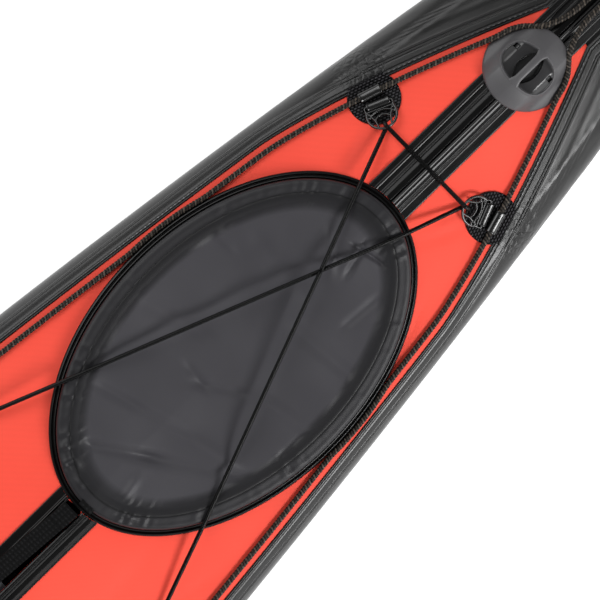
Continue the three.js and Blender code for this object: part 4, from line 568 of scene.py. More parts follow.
def black_coated_fabric():
    """Black TPU-coated hull fabric: deep black under a soft gloss, drawn lengthways in faint ripples, with
    rubbed paler streaks, and crinkled where the deck patches are welded to it."""
    r = recipe("black_coated_fabric")
    stretched = r.mapping(r.where, Scale=(0.5, 11.0, 11.0))
    streak = r.noise(stretched, 10.0, 5.0, Roughness=0.6)
    # The coating's grain is about 0.4 mm; drawn at 2 mm so that it shows.
    grain = r.noise(r.where, 500.0, 2.0)
    scuff = r.noise(r.where, 26.0, 6.0, Roughness=0.7)
    colour = r.tint(r.ranged(streak, 0.0, 1.0, 0.45, 0.8), "#070707", "#121211")
    rough = r.ranged(r.maths("MULTIPLY", streak, scuff), 0.4, 0.3, 0.15, 0.4)
    height = r.bump(r.noise(stretched, 5.0, 3.0), 0.09, 0.0025)
    sides = r.add("SeparateXYZ", {0: r.where}).outputs
    beam = r.maths("ABSOLUTE", sides["Y"])
    mirrored = r.add("CombineXYZ", {"X": sides["X"], "Y": beam, "Z": sides["Z"]}).outputs[0]
    crinkle = r.add("TexVoronoi", {"Vector": r.where, "Scale": 110.0, "Randomness": 1.0},
                    feature="DISTANCE_TO_EDGE").outputs["Distance"]
    for place in ((1.592, 0.150, 0.248), (0.852, 0.258, 0.208)):
        apart = r.add("VectorMath", {0: mirrored, 1: place}, operation="DISTANCE").outputs["Value"]
        bumps = r.maths("MULTIPLY", crinkle, r.ranged(apart, 1.0, 0.0, 0.010, 0.045))
        height = r.bump(bumps, 0.5, 0.006, Normal=height)
    # Grey thread 5.3 mm outboard of the seam, in stitches 3.5 mm long every 6.9 mm, drawn 1 mm wide so that
    # it shows, and worn dark in places.
    sewn = r.maths("COMPARE", r.mark("seam"), 0.0053, 0.0006)
    beat = r.maths("SINE", r.maths("MULTIPLY", sides["X"], 2 * math.pi / 0.0069))
    thread = r.maths("MULTIPLY", sewn, r.ranged(beat, 0.0, 1.0, 0.0, 0.4))
    fresh = r.ranged(r.noise(r.where, 4.0, 1.0), 0.12, 1.0, 0.42, 0.58)
    colour = r.tint(r.maths("MULTIPLY", thread, fresh), colour, "#77777a")
    height = r.bump(thread, 0.5, 0.0005, Normal=height)
    fine = r.bump(grain, 0.2, 0.0003, Normal=height)
    return r.finish(colour, rough, fine, IOR=1.5, Specular_IOR_Level=0.3, Coat_Weight=0.25,
                    Coat_Roughness=0.2)


def grey_cover_cloth():
    """Charcoal PVC-coated cover cloth: satin, a faint grain and mottling, its doubled hem darker, partly by
    its own tone and partly by painted shade in its sewn groove and in a band inside it.
    """
    r = recipe("grey_cover_cloth")
    hem = r.mark("hem")
    cloud = r.noise(r.where, 9.0, 4.0)
    # Cloth grain is 0.5 mm; drawn at 2 mm so that it shows.
    grain = r.noise(r.where, 480.0, 2.0)
    crease = r.noise(r.where, 14.0, 3.0, Distortion=0.8)
    # Painted shade: the hem mark darkens the sewn groove and a band reaching into the panel, on top of the
    # doubled cloth's own darker tone.
    colour = r.tint(hem, r.tint(cloud, "#363539", "#414044"), "#08080a")
    rough = r.blend(hem, r.ranged(cloud, 0.46, 0.56), 0.46)
    fine = r.bump(grain, 0.16, 0.0003, Normal=r.bump(crease, 0.3, 0.003))
    return r.finish(colour, rough, fine, IOR=1.5, Specular_IOR_Level=0.3)


def moulded(name, dark, pale, rough, grain_mm, bump, **sockets):
    """A moulded or extruded plain plastic or rubber: two close tones, even gloss and a fine surface grain,
    polished in its finger hollows where the piece has any, which are painted near black as shade."""
    r = recipe(name)
    cloud = r.noise(r.where, 40.0, 3.0)
    grain = r.noise(r.where, 1000.0 / grain_mm, 2.0)
    hollow = r.mark("hollow")
    # Painted shade: where the hollow mark is set, the colour goes near black as shade in the finger hollows.
    colour = r.tint(hollow, r.tint(cloud, dark, pale), "#080809")
    gloss = r.blend(hollow, r.ranged(cloud, rough - 0.05, rough + 0.05), 0.24)
    return r.finish(colour, gloss, r.bump(grain, bump, 0.0003), **sockets)


def extruded_rubber():
    """Extruded black rubber of the closure rails and rims: glossy along its run, with faint draw lines."""
    r = recipe("extruded_rubber")
    lines = r.noise(r.mapping(r.where, Scale=(1.0, 14.0, 14.0)), 8.0, 1.0)
    cloud = r.noise(r.where, 30.0, 4.0)
    rough = r.ranged(r.maths("MULTIPLY", lines, cloud), 0.2, 0.27, 0.12, 0.4)
    return r.finish(r.tint(cloud, "#060606", "#0c0c0c"), rough, r.bump(lines, 0.02, 0.0006),
                    Specular_IOR_Level=0.2, Coat_Weight=0.08, Coat_Roughness=0.16)


def polyester_webbing():
    """Black polyester webbing: plump yarns in a coarse basket weave, matt, with a painted highlight on the
    yarn crowns of the patches.
    """
    r = recipe("polyester_webbing")
    # Real yarns are 1.2 mm wide; drawn at 2.6 mm so that the weave reads.
    over, under = (r.wave(r.uv, pitch, direction, Distortion=0.6, Detail_Scale=3.0)
                   for pitch, direction in ((0.0026, "X"), (0.0034, "Y")))
    fuzz = r.noise(r.uv, 700.0, 3.0)
    both = r.maths("MULTIPLY_ADD", fuzz, 0.35, r.maths("MULTIPLY", over, under))
    # Painted highlight: the crown mark, the height of the patches' yarns, tints their tops pale grey.
    colour = r.tint(r.mark("crown"), r.tint(both, "#030303", "#121213"), "#454447")
    return r.finish(colour, 0.62, r.bump(both, 0.9, 0.0009), Specular_IOR_Level=0.1)


def braided_cord(name, pitch, depth, dark, pale, rough, shine):
    """A braided cord: strands crossing in small diamonds, tinted pale on their crests and dark between them
    as painted highlight and shade, with paler marker yarns and painted crown highlights where the mesh marks
    them.
    """
    r = recipe(name)
    one, two = (r.wave(r.mapping(r.uv, Rotation=(0, 0, math.radians(lean))), pitch, "X")
                for lean in (38, -38))
    weave = r.maths("MAXIMUM", one, two)
    # Painted highlight and shade: the weave's crests take the pale tone and its valleys the dark one.
    colour = r.tint(r.mark("fleck"), r.tint(weave, dark, pale), "#5a524a")
    return r.finish(colour, rough, r.bump(weave, depth, 0.0006), Specular_IOR_Level=shine)


def anodised_aluminium():
    """Silver anodised aluminium tube: satin metal with faint drawing lines along it."""
    r = recipe("anodised_aluminium")
    lines = r.noise(r.mapping(r.where, Scale=(1.0, 60.0, 60.0)), 12.0, 3.0)
    colour = r.tint(lines, "#a9acb0", "#c6c9cc")
    return r.finish(colour, r.ranged(lines, 0.3, 0.45), r.bump(lines, 0.15, 0.0002), Metallic=1.0)


def padding_fabric():
    """Charcoal knitted spacer fabric over foam: a fine honeycomb of loops, matt with a soft sheen."""
    r = recipe("padding_fabric")
    # Loops are 1.6 mm apart; drawn at 3.5 mm so that they read.
    cells = r.add("TexVoronoi", {"Vector": r.where, "Scale": 1 / 0.0035}).outputs["Distance"]
    colour = r.tint(cells, "#151517", r.tint(r.noise(r.where, 12.0, 3.0), "#242427", "#333337"))
    return r.finish(colour, 0.85, r.bump(cells, 0.6, 0.0008), Sheen_Weight=0.25, Sheen_Roughness=0.6)


def floor_paint():
    """Matt white studio floor, shown as white to the camera and in reflections, with a soft shadow kept."""
    r = recipe("white_studio_floor")
    tone = r.tint(r.noise(r.where, 2.0, 2.0), "#b9b9b9", "#bcbcbc")
    matt = r.add("BsdfDiffuse", {"Color": tone}).outputs[0]
    ray = r.add("LightPath").outputs
    seen = r.maths("MAXIMUM", ray["Is Camera Ray"], ray["Is Glossy Ray"])
    seen = r.maths("MAXIMUM", seen, ray["Is Transmission Ray"])
    dark, glow = (r.add("Emission", {"Color": (white, white, white, 1), "Strength": power}).outputs[0]
                  for white, power in ((0, 0.0), (1, 0.8)))
    shown = r.add("MixShader", {0: seen, 1: dark, 2: glow}).outputs[0]
    return r.end(r.add("AddShader", {0: matt, 1: shown}).outputs[0])


FINISH = {}


def finishes():
    """Makes every finish once."""
    FINISH.update({
        "red": red_coated_nylon(),
        "black": black_coated_fabric(),
        "cover": grey_cover_cloth(),
        "rail": extruded_rubber(),
        "webbing": polyester_webbing(),
        "line": braided_cord("braided_polyester_line", 0.0042, 0.4, "#020202", "#191715", 0.5, 0.12),
        "bungee": braided_cord("elastic_shock_cord", 0.0016, 0.3, "#030303", "#090909", 0.27, 0.14),
        "metal": anodised_aluminium(),
        "padding": padding_fabric(),
        # Soft matt rubber disc that a hand grips
        "tow": moulded("moulded_tpu_rubber", "#464547", "#504f51", 0.44, 1.6, 0.12),
        # Hard glossy fittings: D-rings and buckle
        "plastic": moulded("moulded_acetal", "#0b0b0b", "#111111", 0.22, 2.0, 0.05, Coat_Weight=0.25,
                           Coat_Roughness=0.12),
        # Grained coaming, valves and foot rests
        "shell": moulded("moulded_abs", "#1a1a1b", "#232324", 0.4, 1.8, 0.3),
        "rubber": moulded("keel_strip_rubber", "#2a292b", "#373638", 0.62, 2.2, 0.4),
        "air": moulded("air_tube_tpu", "#2c2e32", "#383b40", 0.46, 1.6, 0.25),
        "board": moulded("hdpe_board", "#26282b", "#303236", 0.55, 2.4, 0.35),
        "floor": floor_paint(),
    })


# Settings that a user would change

def metres(name, description, default, low, high):
    """A length among the settings."""
    return bpy.props.FloatProperty(name=name, description=description, default=default, min=low, max=high,
                                   subtype="DISTANCE", unit="LENGTH")


class KayakSettings(bpy.types.PropertyGroup):
    """Sizes of the cords and trims."""

    line_diameter: metres("Safety line", "Diameter of the safety lines", 0.0072, 0.003, 0.01)
    bungee_diameter: metres("Shock cord", "Diameter of the crossed shock cord", 0.0058, 0.003, 0.01)
    ring_wire: metres("Ring wire", "Thickness of the D-rings", 0.0038, 0.002, 0.006)
    fold_height: metres("Cover folds", "Height of the folds in the hatch cover", 0.0065, 0.0, 0.012)
    lens: bpy.props.FloatProperty(
        name="Lens", description="Focal length of the camera in millimetres", default=232.0, min=20.0,
        max=400.0)


# Camera and light

class KAYAK_OT_stage(bpy.types.Operator):
    """Makes the floor, the lights and the camera at the photograph's angle"""

    bl_idname = "kayak.stage"
    bl_label = "Stage"

    def execute(self, context):
        scene = context.scene
        scene.view_settings.view_transform = "Standard"
        angle = np.linspace(0, 2 * np.pi, 65)[:-1]
        rings = np.array([0.0, 1.0, 4.0, 30.0])[:, None]
        points = spots(rings * np.cos(angle), rings * np.sin(angle), 0)
        floor = grid("floor", points, wrap=(False, True), weld=True)
        floor.data.materials.append(FINISH["floor"])

        tilt = Matrix.Rotation(math.radians(CAMERA_TILT), 3, "X")
        right = tilt @ Vector((0.7134, -0.7008, 0)).normalized()
        back = tilt @ Vector((0, 0, 1))
        turn = Matrix((right, back.cross(right), back)).transposed().to_4x4()
        turn.translation = Vector(CAMERA_AIM) + back * CAMERA_DISTANCE
        camera = placed("camera", bpy.data.cameras.new("camera"))
        camera.matrix_world = turn
        camera.data.sensor_width = 36
        camera.data.lens = scene.kayak.lens
        camera.data.clip_end = 100
        scene.camera = camera

        scene.world = bpy.data.worlds.new("soft_room")
        # A pale room whose walls are brighter than its ceiling, so gloss looks deep from above and silver
        # at the starboard side.
        room = Recipe(scene.world, "World")
        way = room.add("TexCoord").outputs["Generated"]
        way = room.add("SeparateXYZ", {0: way}).outputs
        wall = room.ranged(way["Y"], ROOM_STARBOARD, ROOM_PORT, -0.5, 0.5)
        glow = room.ranged(way["Z"], wall, ROOM_CEILING, 0.05, 0.6)
        room.end(room.add("Background", {"Color": (1, 1, 1, 1), "Strength": glow}).outputs[0])
        for name, place, size, power in LAMPS:
            lamp = placed(name, bpy.data.lights.new(name, "AREA"))
            lamp.data.shape = "DISK"
            lamp.data.size = size
            lamp.data.energy = power
            lamp.location = place
            lamp.rotation_euler = (Vector((1.0, 0, 0.2)) - Vector(place)).to_track_quat("-Z", "Y").to_euler()
        return {"FINISHED"}


# Cords

def line_plan(x):
    """The safety line's distance from the centreline: 10.5 mm inside the seam, over the tow eye's brim and
    round the hatch rim, and drawn in to the anchor at the end of the boat."""
    away = np.abs(x) - TOW_X
    around = np.sqrt(np.maximum((TOW_RADIUS - 0.002) ** 2 - away ** 2, 0))
    into = smooth(TOW_X, ANCHOR_X - 0.04, np.abs(x))
    part = np.minimum(1, np.abs(x - HATCH_X) / HATCH_A)
    rim = np.where((x > HATCH_X) & (part < 1), HATCH_B * np.sqrt(1 - part ** 2) + 0.0036, 0)
    beside = seam_y(np.minimum(np.abs(x), 1.86)) - LINE_INSET
    return np.maximum(np.maximum(around, rim), beside * (1 - into) + LINE_END_Y * into)


def line_rise(x, y):
    """The line's centre over the deck: its radius, and more over the patches, rails and tow eye's brim."""
    over_rail = 1 - smooth(RAIL_HALF / 2, RAIL_HALF * 1.2, np.abs(y))
    near = np.min([np.abs(x - place[0]) for place in PATCHES.values()], axis=0)
    over_patch = 1 - smooth(0.035, 0.047, near)
    brim = 1 - smooth(TOW_RADIUS + 0.001, TOW_RADIUS + 0.014, np.hypot(np.abs(x) - TOW_X, y))
    return 0.0039 + over_patch * 0.0023 + over_rail * (RAIL_TOP + 0.0015) + brim * 0.0036


def line_end_z():
    """Height of the safety lines under their anchors."""
    return float(deck_z(ANCHOR_X - 0.02, 0)) + RAIL_TOP + 0.0045


def deck_frame(x, y, heading, height):
    """A place over the deck with its directions along the heading, across it and off the deck."""
    reach = 0.0175
    slope_x = (deck_z(x + reach, y) - deck_z(x - reach, y)) / (2 * reach)
    slope_y = (deck_z(x, y + reach) - deck_z(x, y - reach)) / (2 * reach)
    normal = unit(np.array([-slope_x, -slope_y, 1.0]))
    a = math.radians(heading)
    ahead = np.array([math.cos(a), math.sin(a), 0.0])
    ahead = unit(ahead - normal * ahead.dot(normal))
    return on_deck(x, y) + normal * height, ahead, np.cross(normal, ahead), normal


def ring_frame(ring, side=1):
    """The D-ring's frame: its bar's centre, and its directions tilted ten degrees off the deck."""
    place, ahead, across, normal = deck_frame(*ring, RING_SEAT)
    tilt = math.radians(10)
    along = ahead * math.cos(tilt) + normal * math.sin(tilt)
    square = normal * math.cos(tilt) - ahead * math.sin(tilt)
    return [way * np.array([1, side, 1]) for way in (place, along, across, square)]


def bungee_routes():
    """The shock cord's route: two diagonals from the fore rings to the middle rings, crossing over the
    hatch, and the cross-piece between the fore rings. Where it rests and bends is given one by one."""
    start, fore_along, _, fore_normal = ring_frame(RINGS["fore"])
    stop, aft_along, _, aft_normal = ring_frame(RINGS["middle"])
    start = start + fore_along * CORD_REACH
    stop = stop + aft_along * CORD_REACH

    def turned(centre, along, normal, first, last, count):
        """Points round the wire of a ring's bow."""
        turns = np.radians(np.linspace(first, last, count))[:, None]
        return centre + CORD_WRAP * (np.cos(turns) * along + np.sin(turns) * normal)

    bow = turned(start, fore_along, fore_normal, 90, 270, 13)
    knot_turn = turned(stop, aft_along, aft_normal, 270, 180, 7)
    knot = knot_turn[-1] + aft_normal * 0.011

    a, b = start * PORT_TO_STARBOARD, stop
    rest = [on_deck(x, b[1] + (a[1] - b[1]) * (x - b[0]) / (a[0] - b[0]), CORD_REST)
            for x in (1.484, 1.452, 1.058, 1.032)]
    crossing_x = b[0] - (a[0] - b[0]) * b[1] / (a[1] - b[1])
    share = (rest[1][0] - crossing_x) / (rest[1][0] - rest[2][0])
    middle = np.array([crossing_x, 0, rest[1][2] + (rest[2][2] - rest[1][2]) * share])
    halves = {}
    # The diagonal from the port fore ring crosses over the other one, just clear of it.
    for fore, aft, lift, mirror in (("starboard", "port", 0, np.ones(3)),
                                    ("port", "starboard", CORD_LIFT, PORT_TO_STARBOARD)):
        top = middle + [0, 0, lift]
        halves[aft + "_aft"] = [top, *(np.array([rest[2], rest[3], *knot_turn, knot]) * mirror)]
        halves[fore + "_fore"] = [*(np.array([bow[-1] * PORT_TO_STARBOARD, rest[0], rest[1]]) * mirror), top]
    over = [on_deck(a[0], 0, RAIL_TOP + 0.0034) + [0, y, 0] for y in (0.00875, -0.00875)]
    return {**halves, "cross": [*bow[::-1], *over, *(bow * PORT_TO_STARBOARD)]}, knot


class KAYAK_OT_cords(bpy.types.Operator):
    """Makes the two safety lines and the crossed shock cord"""

    bl_idname = "kayak.cords"
    bl_label = "Cords"

    def execute(self, context):
        size = context.scene.kayak
        up = np.array([0, 0, 1.0])
        x = np.linspace(-1.86, 1.86, 900)
        y = line_plan(x)
        tail = spots(ANCHOR_X + np.array([-0.032, 0, 0.012]), LINE_END_Y, line_end_z())
        path = np.concatenate([(tail * [-1, 1, 1])[::-1], on_deck(x, y, line_rise(x, y)), tail])
        path = resample(path, 0.001, 0.006)
        for name, side in (("left_safety_line", 1), ("right_safety_line", -1)):
            # Real strands are 2 mm wide; drawn 4.4 mm apart, so that they read.
            line = braided_tube(name + "_braid", path * [1, side, 1], size.line_diameter / 2, up, 16,
                                BRAID_PITCH, BRAID_RELIEF)
            settle(line, "line", "boat", (name,))
        routes, knot = bungee_routes()
        made = {}
        for name, route in routes.items():
            path = resample(route, 0.0015, 0.0018)
            made[name] = tube("bungee_" + name, path, size.bungee_diameter / 2, [0.05, 0.02, 1.0], 12)
        coil = np.linspace(0, 2.5 * 2 * np.pi, 90)
        rise = 0.0018 * np.sin(coil * 0.4) - 0.001 + 0.0006 * coil / np.pi
        coil = spots(0.0042 * np.cos(coil), 0.0042 * np.sin(coil), rise)
        for word, side in (("port", 1), ("starboard", -1)):
            made["knot_" + word] = tube("bungee_knot_" + word, knot * [1, side, 1] + coil, 0.0022, up, 10)
        for name, piece in made.items():
            settle(piece, "bungee", "boat" if name == "cross" or "knot" in name else None, ())
        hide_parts("fore_bungee")
        for name, side in (("starboard_fore", -1), ("port_fore", 1)):
            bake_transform(made[name])
        for name, side in (("port_aft", 1), ("starboard_aft", -1)):
            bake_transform(made[name])
        return {"FINISHED"}


# Skins

def hump(v, centre, width):
    """A Gaussian hump of height one."""
    return np.exp(-((v - centre) / width) ** 2)


def skin_band(d):
    """Height of the seam tape over the skin by the distance outboard of the seam: a tape step of 0.6 mm
    with a welt at its edge, a groove on each side of the stitching and two ridges further out."""
    tape = 0.0006 * (1 - smooth(0.0165, 0.0175, d))
    grooves = 0.0007 * hump(d, 0.0034, 0.0007) + 0.0006 * hump(d, 0.0078, 0.0008)
    ridges = 0.001 * hump(d, 0.0192, 0.0011) + 0.0011 * hump(d, 0.0232, 0.0011)
    return tape + 0.001 * hump(d, 0.0014, 0.001) - grooves + ridges


def skin_relief(x, y, d):
    """Height of the stretched fabric: lengthways ripples outboard of the seam where the deck is flat toward
    the ends, and a groove 23 mm inside the beam, where the side tube's swell meets the deck."""
    x = x[:, None]
    away = half_beam(x) - y
    flat = smooth(0.018, 0.03, away) * smooth(0.016, 0.024, d)
    ripple = (0.0001 * np.sin(d * 330 + 0.8 * np.sin(x * 5)) + 0.00012 * np.sin(d * 190 + x * 3)
              + 0.00004 * np.sin(d * 610 - x * 4 + 2))
    groove = 0.0008 * hump(away, 0.0285, 0.003) - 0.0016 * hump(away, 0.023, 0.0022)
    ends = smooth(1.25, 1.45, np.abs(x)) * (1 - smooth(2.1, 2.3, np.abs(x)))
    return (ripple * flat + groove * smooth(0.012, 0.02, d)) * ends


def skin_rows(x, start, near=66, far=28, inner=0):
    """One side of the skin from the start distance down to the keel: rows of points displaced along the
    section's own normal by the seam tape's height. With an inner count, that many points come first, from
    the centreline to the start."""
    y, z = half_section(x)
    run = np.cumsum(np.hypot(np.diff(y, axis=1, prepend=y[:, :1]), np.diff(z, axis=1, prepend=z[:, :1])), 1)
    i = np.argmax(y >= start[:, None], axis=1)
    rows = np.arange(len(x))
    part = (start - y[rows, i - 1]) / np.maximum(y[rows, i] - y[rows, i - 1], 1e-9)
    first = np.where(i > 0, run[rows, i - 1] + part * (run[rows, i] - run[rows, i - 1]), 0)[:, None]
    total = run[:, -1:]
    band = np.minimum(0.06, (total - first) * 0.4)
    d = np.concatenate([band * np.linspace(0, 1, near) ** 1.3,
                        band + (total - first - band) * np.linspace(0, 1, far + 1)[1:]], 1)
    if inner:
        d = np.concatenate([first * (np.linspace(0, 1, inner + 1)[:-1] - 1), d], 1)
    at = first + d
    py, pz = along_rows(at, run, y), along_rows(at, run, z)
    ahead, back = np.minimum(at + 0.0015, total), np.maximum(at - 0.0015, 0)
    ty, tz = (along_rows(ahead, run, way) - along_rows(back, run, way) for way in (y, z))
    size = np.maximum(np.hypot(ty, tz), 1e-9)
    seamed = np.abs(x)[:, None] < SEAM_END + 0.001
    rise = (skin_band(d) * seamed + skin_relief(x, py, d) * (1 - smooth(0.25, 0.3, d))) * (d >= 0)
    return spots(x[:, None], py - tz / size * rise, pz + ty / size * rise), d


def skin_middle():
    """The skin between the seam's ends, both sides joined along the keel."""
    x = np.linspace(-SEAM_END, SEAM_END, 190)
    port, d = skin_rows(x, seam_y(x))
    points = np.concatenate([port, port[:, -2::-1] * PORT_TO_STARBOARD], 1)
    away = points - spots(points[..., 0], 0, 0.14)
    return grid("hull_middle", points, away, angle=60, seam=np.concatenate([d, d[:, -2::-1]], 1))


def skin_end(side):
    """The skin at one end of the boat: rings round the section, closer together toward the tip, which four
    smaller rings close."""
    x = side * (SEAM_END + (HALF_LENGTH - SEAM_END) * (1 - (1 - np.linspace(0, 1, 30)) ** 1.6))
    start = np.minimum(seam_y(SEAM_END), half_beam(x) * 0.4)
    start[0] = seam_y(SEAM_END)
    port, _ = skin_rows(x, start, inner=8)
    loop = np.concatenate([port, port[:, -2:0:-1] * PORT_TO_STARBOARD], 1)
    centre = loop[-1:].mean(1, keepdims=True)
    closing = [centre + (loop[-1:] - centre) * share + [side * out, 0, 0]
               for share, out in ((0.96, 0.0008), (0.8, 0.0016), (0.45, 0.002), (0.0, 0.0021))]
    loop = np.concatenate([loop, *closing])
    away = loop - spots(loop[..., 0] - side * 0.02, 0, loop[..., 2].mean(1)[:, None])
    return grid("hull_end", loop, away, (False, True), weld=True, angle=60, seam=0 * loop[..., 0])


class KAYAK_OT_hull(bpy.types.Operator):
    """Makes the black hull skin with its seam tapes and closed ends, and finishes the keel strip"""

    bl_idname = "kayak.hull"
    bl_label = "Hull skin"

    def execute(self, context):
        skin = joined("hull_fabric", [skin_middle(), skin_end(1), skin_end(-1)])
        merge(skin.data, 1e-5)
        shade(skin.data, 60)
        thicken(skin, SKIN)
        settle(skin, "black", "boat", ("hull_skin",))
        sheet_area(skin)
        dress("rubber", "keel_strip")
        return {"FINISHED"}


def inner_edge(x, side):
    """The deck panel's inner edge: the closure's slit, and round the hatch and the cockpit."""
    slit = np.where((x > COCKPIT_FRONT) & (x < HATCH_BACK), 0.016 if side > 0 else 0.008, 0.003)
    hatch = (HATCH_B - HATCH_LAP) * np.sqrt(np.maximum(1 - ((x - HATCH_X) / (HATCH_A - HATCH_LAP)) ** 2, 0))
    part = np.minimum(np.abs((x - COCKPIT_X) / COCKPIT_A), 1)
    cockpit = COCKPIT_B * (1 - part ** COCKPIT_POWER) ** (1 / COCKPIT_POWER)
    return np.maximum(np.maximum(slit, hatch), cockpit)


def deck_creases(x, y, side):
    """Shallow hollows of the stretched cloth: long folds out from the patches and the hatch's ends."""
    out = 0.0
    for px, py, amount, length, heading, width in CREASES:
        a = math.radians(heading)
        along = (x - px) * math.cos(a) + (y * side - py) * math.sin(a)
        across = -(x - px) * math.sin(a) + (y * side - py) * math.cos(a)
        out = out - 1.6 * amount * hump(across, 0, width) * hump(along, length / 2, length / 2)
    return out * smooth(0, 0.012, seam_y(x) - y)


class KAYAK_OT_deck(bpy.types.Operator):
    """Makes the two red deck panels"""

    bl_idname = "kayak.deck"
    bl_label = "Deck panels"

    def execute(self, context):
        ends = [COCKPIT_BACK, COCKPIT_FRONT, HATCH_BACK + HATCH_LAP, HATCH_FRONT - HATCH_LAP]
        fine = [end + side * 0.05 * (k / 14) ** 2 for end in ends for k in range(15) for side in (-1, 1)]
        x = np.unique(np.round(np.concatenate([np.linspace(-SEAM_END, SEAM_END, 300), fine]), 6))[:, None]
        for word, side in SIDES:
            y = inner_edge(x, side)
            y = y + (seam_y(x) + 0.0012 - y) * np.linspace(0, 1, 26)
            points = on_deck(x, y, deck_creases(x, y, side) - 0.0003) * [1, side, 1]
            panel = grid(word + "_deck_panel_cloth", points)
            thicken(panel, 0.0009)
            settle(panel, "red", "boat", (word + "_deck_panel",))
            sheet_area(panel)
        return {"FINISHED"}


# Profiles: the closure rails' as shares of their half width and height, the two rims' in millimetres

PORT_RAIL = [[1, 0.0], [1, 0.16], [0.75, 0.19], [0.72, 0.52], [0.66, 0.38], [0.48, 0.42], [0.45, 0.62],
             [0.38, 0.5], [0.22, 0.62], [0.02, 0.58], [0.02, -0.3]]
STARBOARD_RAIL = [[0.89, 0.0], [0.89, 0.16], [0.55, 0.2], [0.5, 0.6], [0.46, 0.42], [0.4, 0.66], [0.34, 0.42],
                  [0.22, 0.5], [0.17, 0.88], [0.09, 1], [0.03, 0.86], [0.0, 0.4], [0.0, -0.3]]
PORT_OPEN = [[1, 0.0], [1, 0.16], [0.65, 0.2], [0.62, 0.52], [0.56, 0.56], [0.53, 0.36], [0.5, 0.36],
             [0.46, 0.6], [0.46, -0.3]]
STARBOARD_OPEN = [[0.94, 0.0], [0.94, 0.16], [0.84, 0.2], [0.74, 0.52], [0.55, 0.56], [0.5, 0.38],
                  [0.42, 0.66], [0.36, 0.4], [0.31, 0.6], [0.23, 0.4], [0.23, -0.3]]
HATCH_RIM = [[0, -1.5], [0, 2.2], [-0.8, 3.4], [-3.1, 4.4], [-4.3, 3.6], [-4.9, 1.8], [-5.6, 1.8],
             [-6.2, 3.8], [-7.4, 4.6], [-8.8, 4.4], [-9.6, 2.6], [-12, 2.4], [-12, 15], [-17.5, 15],
             [-17.5, -2]]
COAMING = [[0, -3], [0, 36], [4, 40], [30, 37.5], [34, 35.5], [34, 28], [30, 28], [30, 32], [4, 32], [4, 4],
           [18, 2], [18, -2]]


def ring_piece(name, corners, count, soften, x0, a, b, power, around, base=np.inf):
    """A moulding round an oval: each profile point is (outward, up), its height taken over the deck no
    further out than the base."""
    out, up = resample(np.array(corners) / 1000, count=count, soften=soften).T
    angle = np.linspace(0, 2 * np.pi, around, endpoint=False)[:, None]
    x, y = oval(angle, x0, a + out, b + out, power)
    low = np.minimum(out, base)
    points = spots(x, y, deck_z(*oval(angle, x0, a + low, b + low, power)) + up)
    centre = points.mean(1, keepdims=True) - [0, 0, 0.003]
    return grid(name, points, points - centre, (True, False), angle=70)


class KAYAK_OT_closures(bpy.types.Operator):
    """Makes the three pairs of closure rails, their ends trimmed to the ovals that they meet"""

    bl_idname = "kayak.closures"
    bl_label = "Closure rails"

    def execute(self, context):
        def oval_reach(y, a, b, power):
            """How far an oval reaches along the boat at a distance from the centreline."""
            return a * (1 - np.minimum(np.abs(y) / b, 1) ** power) ** (1 / power)

        def hatch(y):
            return oval_reach(y, HATCH_A + 0.0003, HATCH_B + 0.0003, 2)

        def well(y):
            return oval_reach(y, COCKPIT_A + 0.0183, COCKPIT_B + 0.0183, COCKPIT_POWER)

        runs = (("fore", PORT_RAIL, STARBOARD_RAIL, HATCH_FRONT, RAIL_END,
                 lambda y: (HATCH_X + hatch(y), RAIL_END)),
                ("middle", PORT_OPEN, STARBOARD_OPEN, COCKPIT_FRONT, HATCH_BACK,
                 lambda y: (COCKPIT_X + well(y), HATCH_X - hatch(y))),
                ("aft", PORT_RAIL, STARBOARD_RAIL, -RAIL_END, COCKPIT_BACK,
                 lambda y: (-RAIL_END, COCKPIT_X - well(y))))
        for name, port, starboard, x0, x1, ends in runs:
            for (word, side), corners in zip(SIDES, (port, starboard)):
                node = f"{name}_closure_{word}_rail"
                corners = np.array(corners) * [RAIL_HALF, RAIL_HEIGHT]
                y, up = (resample(corners, count=84, soften=0.00065) * [side, 1]).T
                first, last = ends(y)
                x = first + (last - first) * np.linspace(0, 1, max(40, int((x1 - x0) / 0.005)))[:, None]
                rail = grid(node + "_profile", on_deck(x, y, up), angle=70)
                settle(rail, "rail", "boat", (node,))
        return {"FINISHED"}


def puckered(x, y):
    """The puckers' height at a place, as a share of the fold height: a Gaussian hump round each."""
    return sum(height * np.exp(-((x - x0) ** 2 + (y - y0) ** 2) / width ** 2)
               for x0, y0, height, width in PUCKERS)


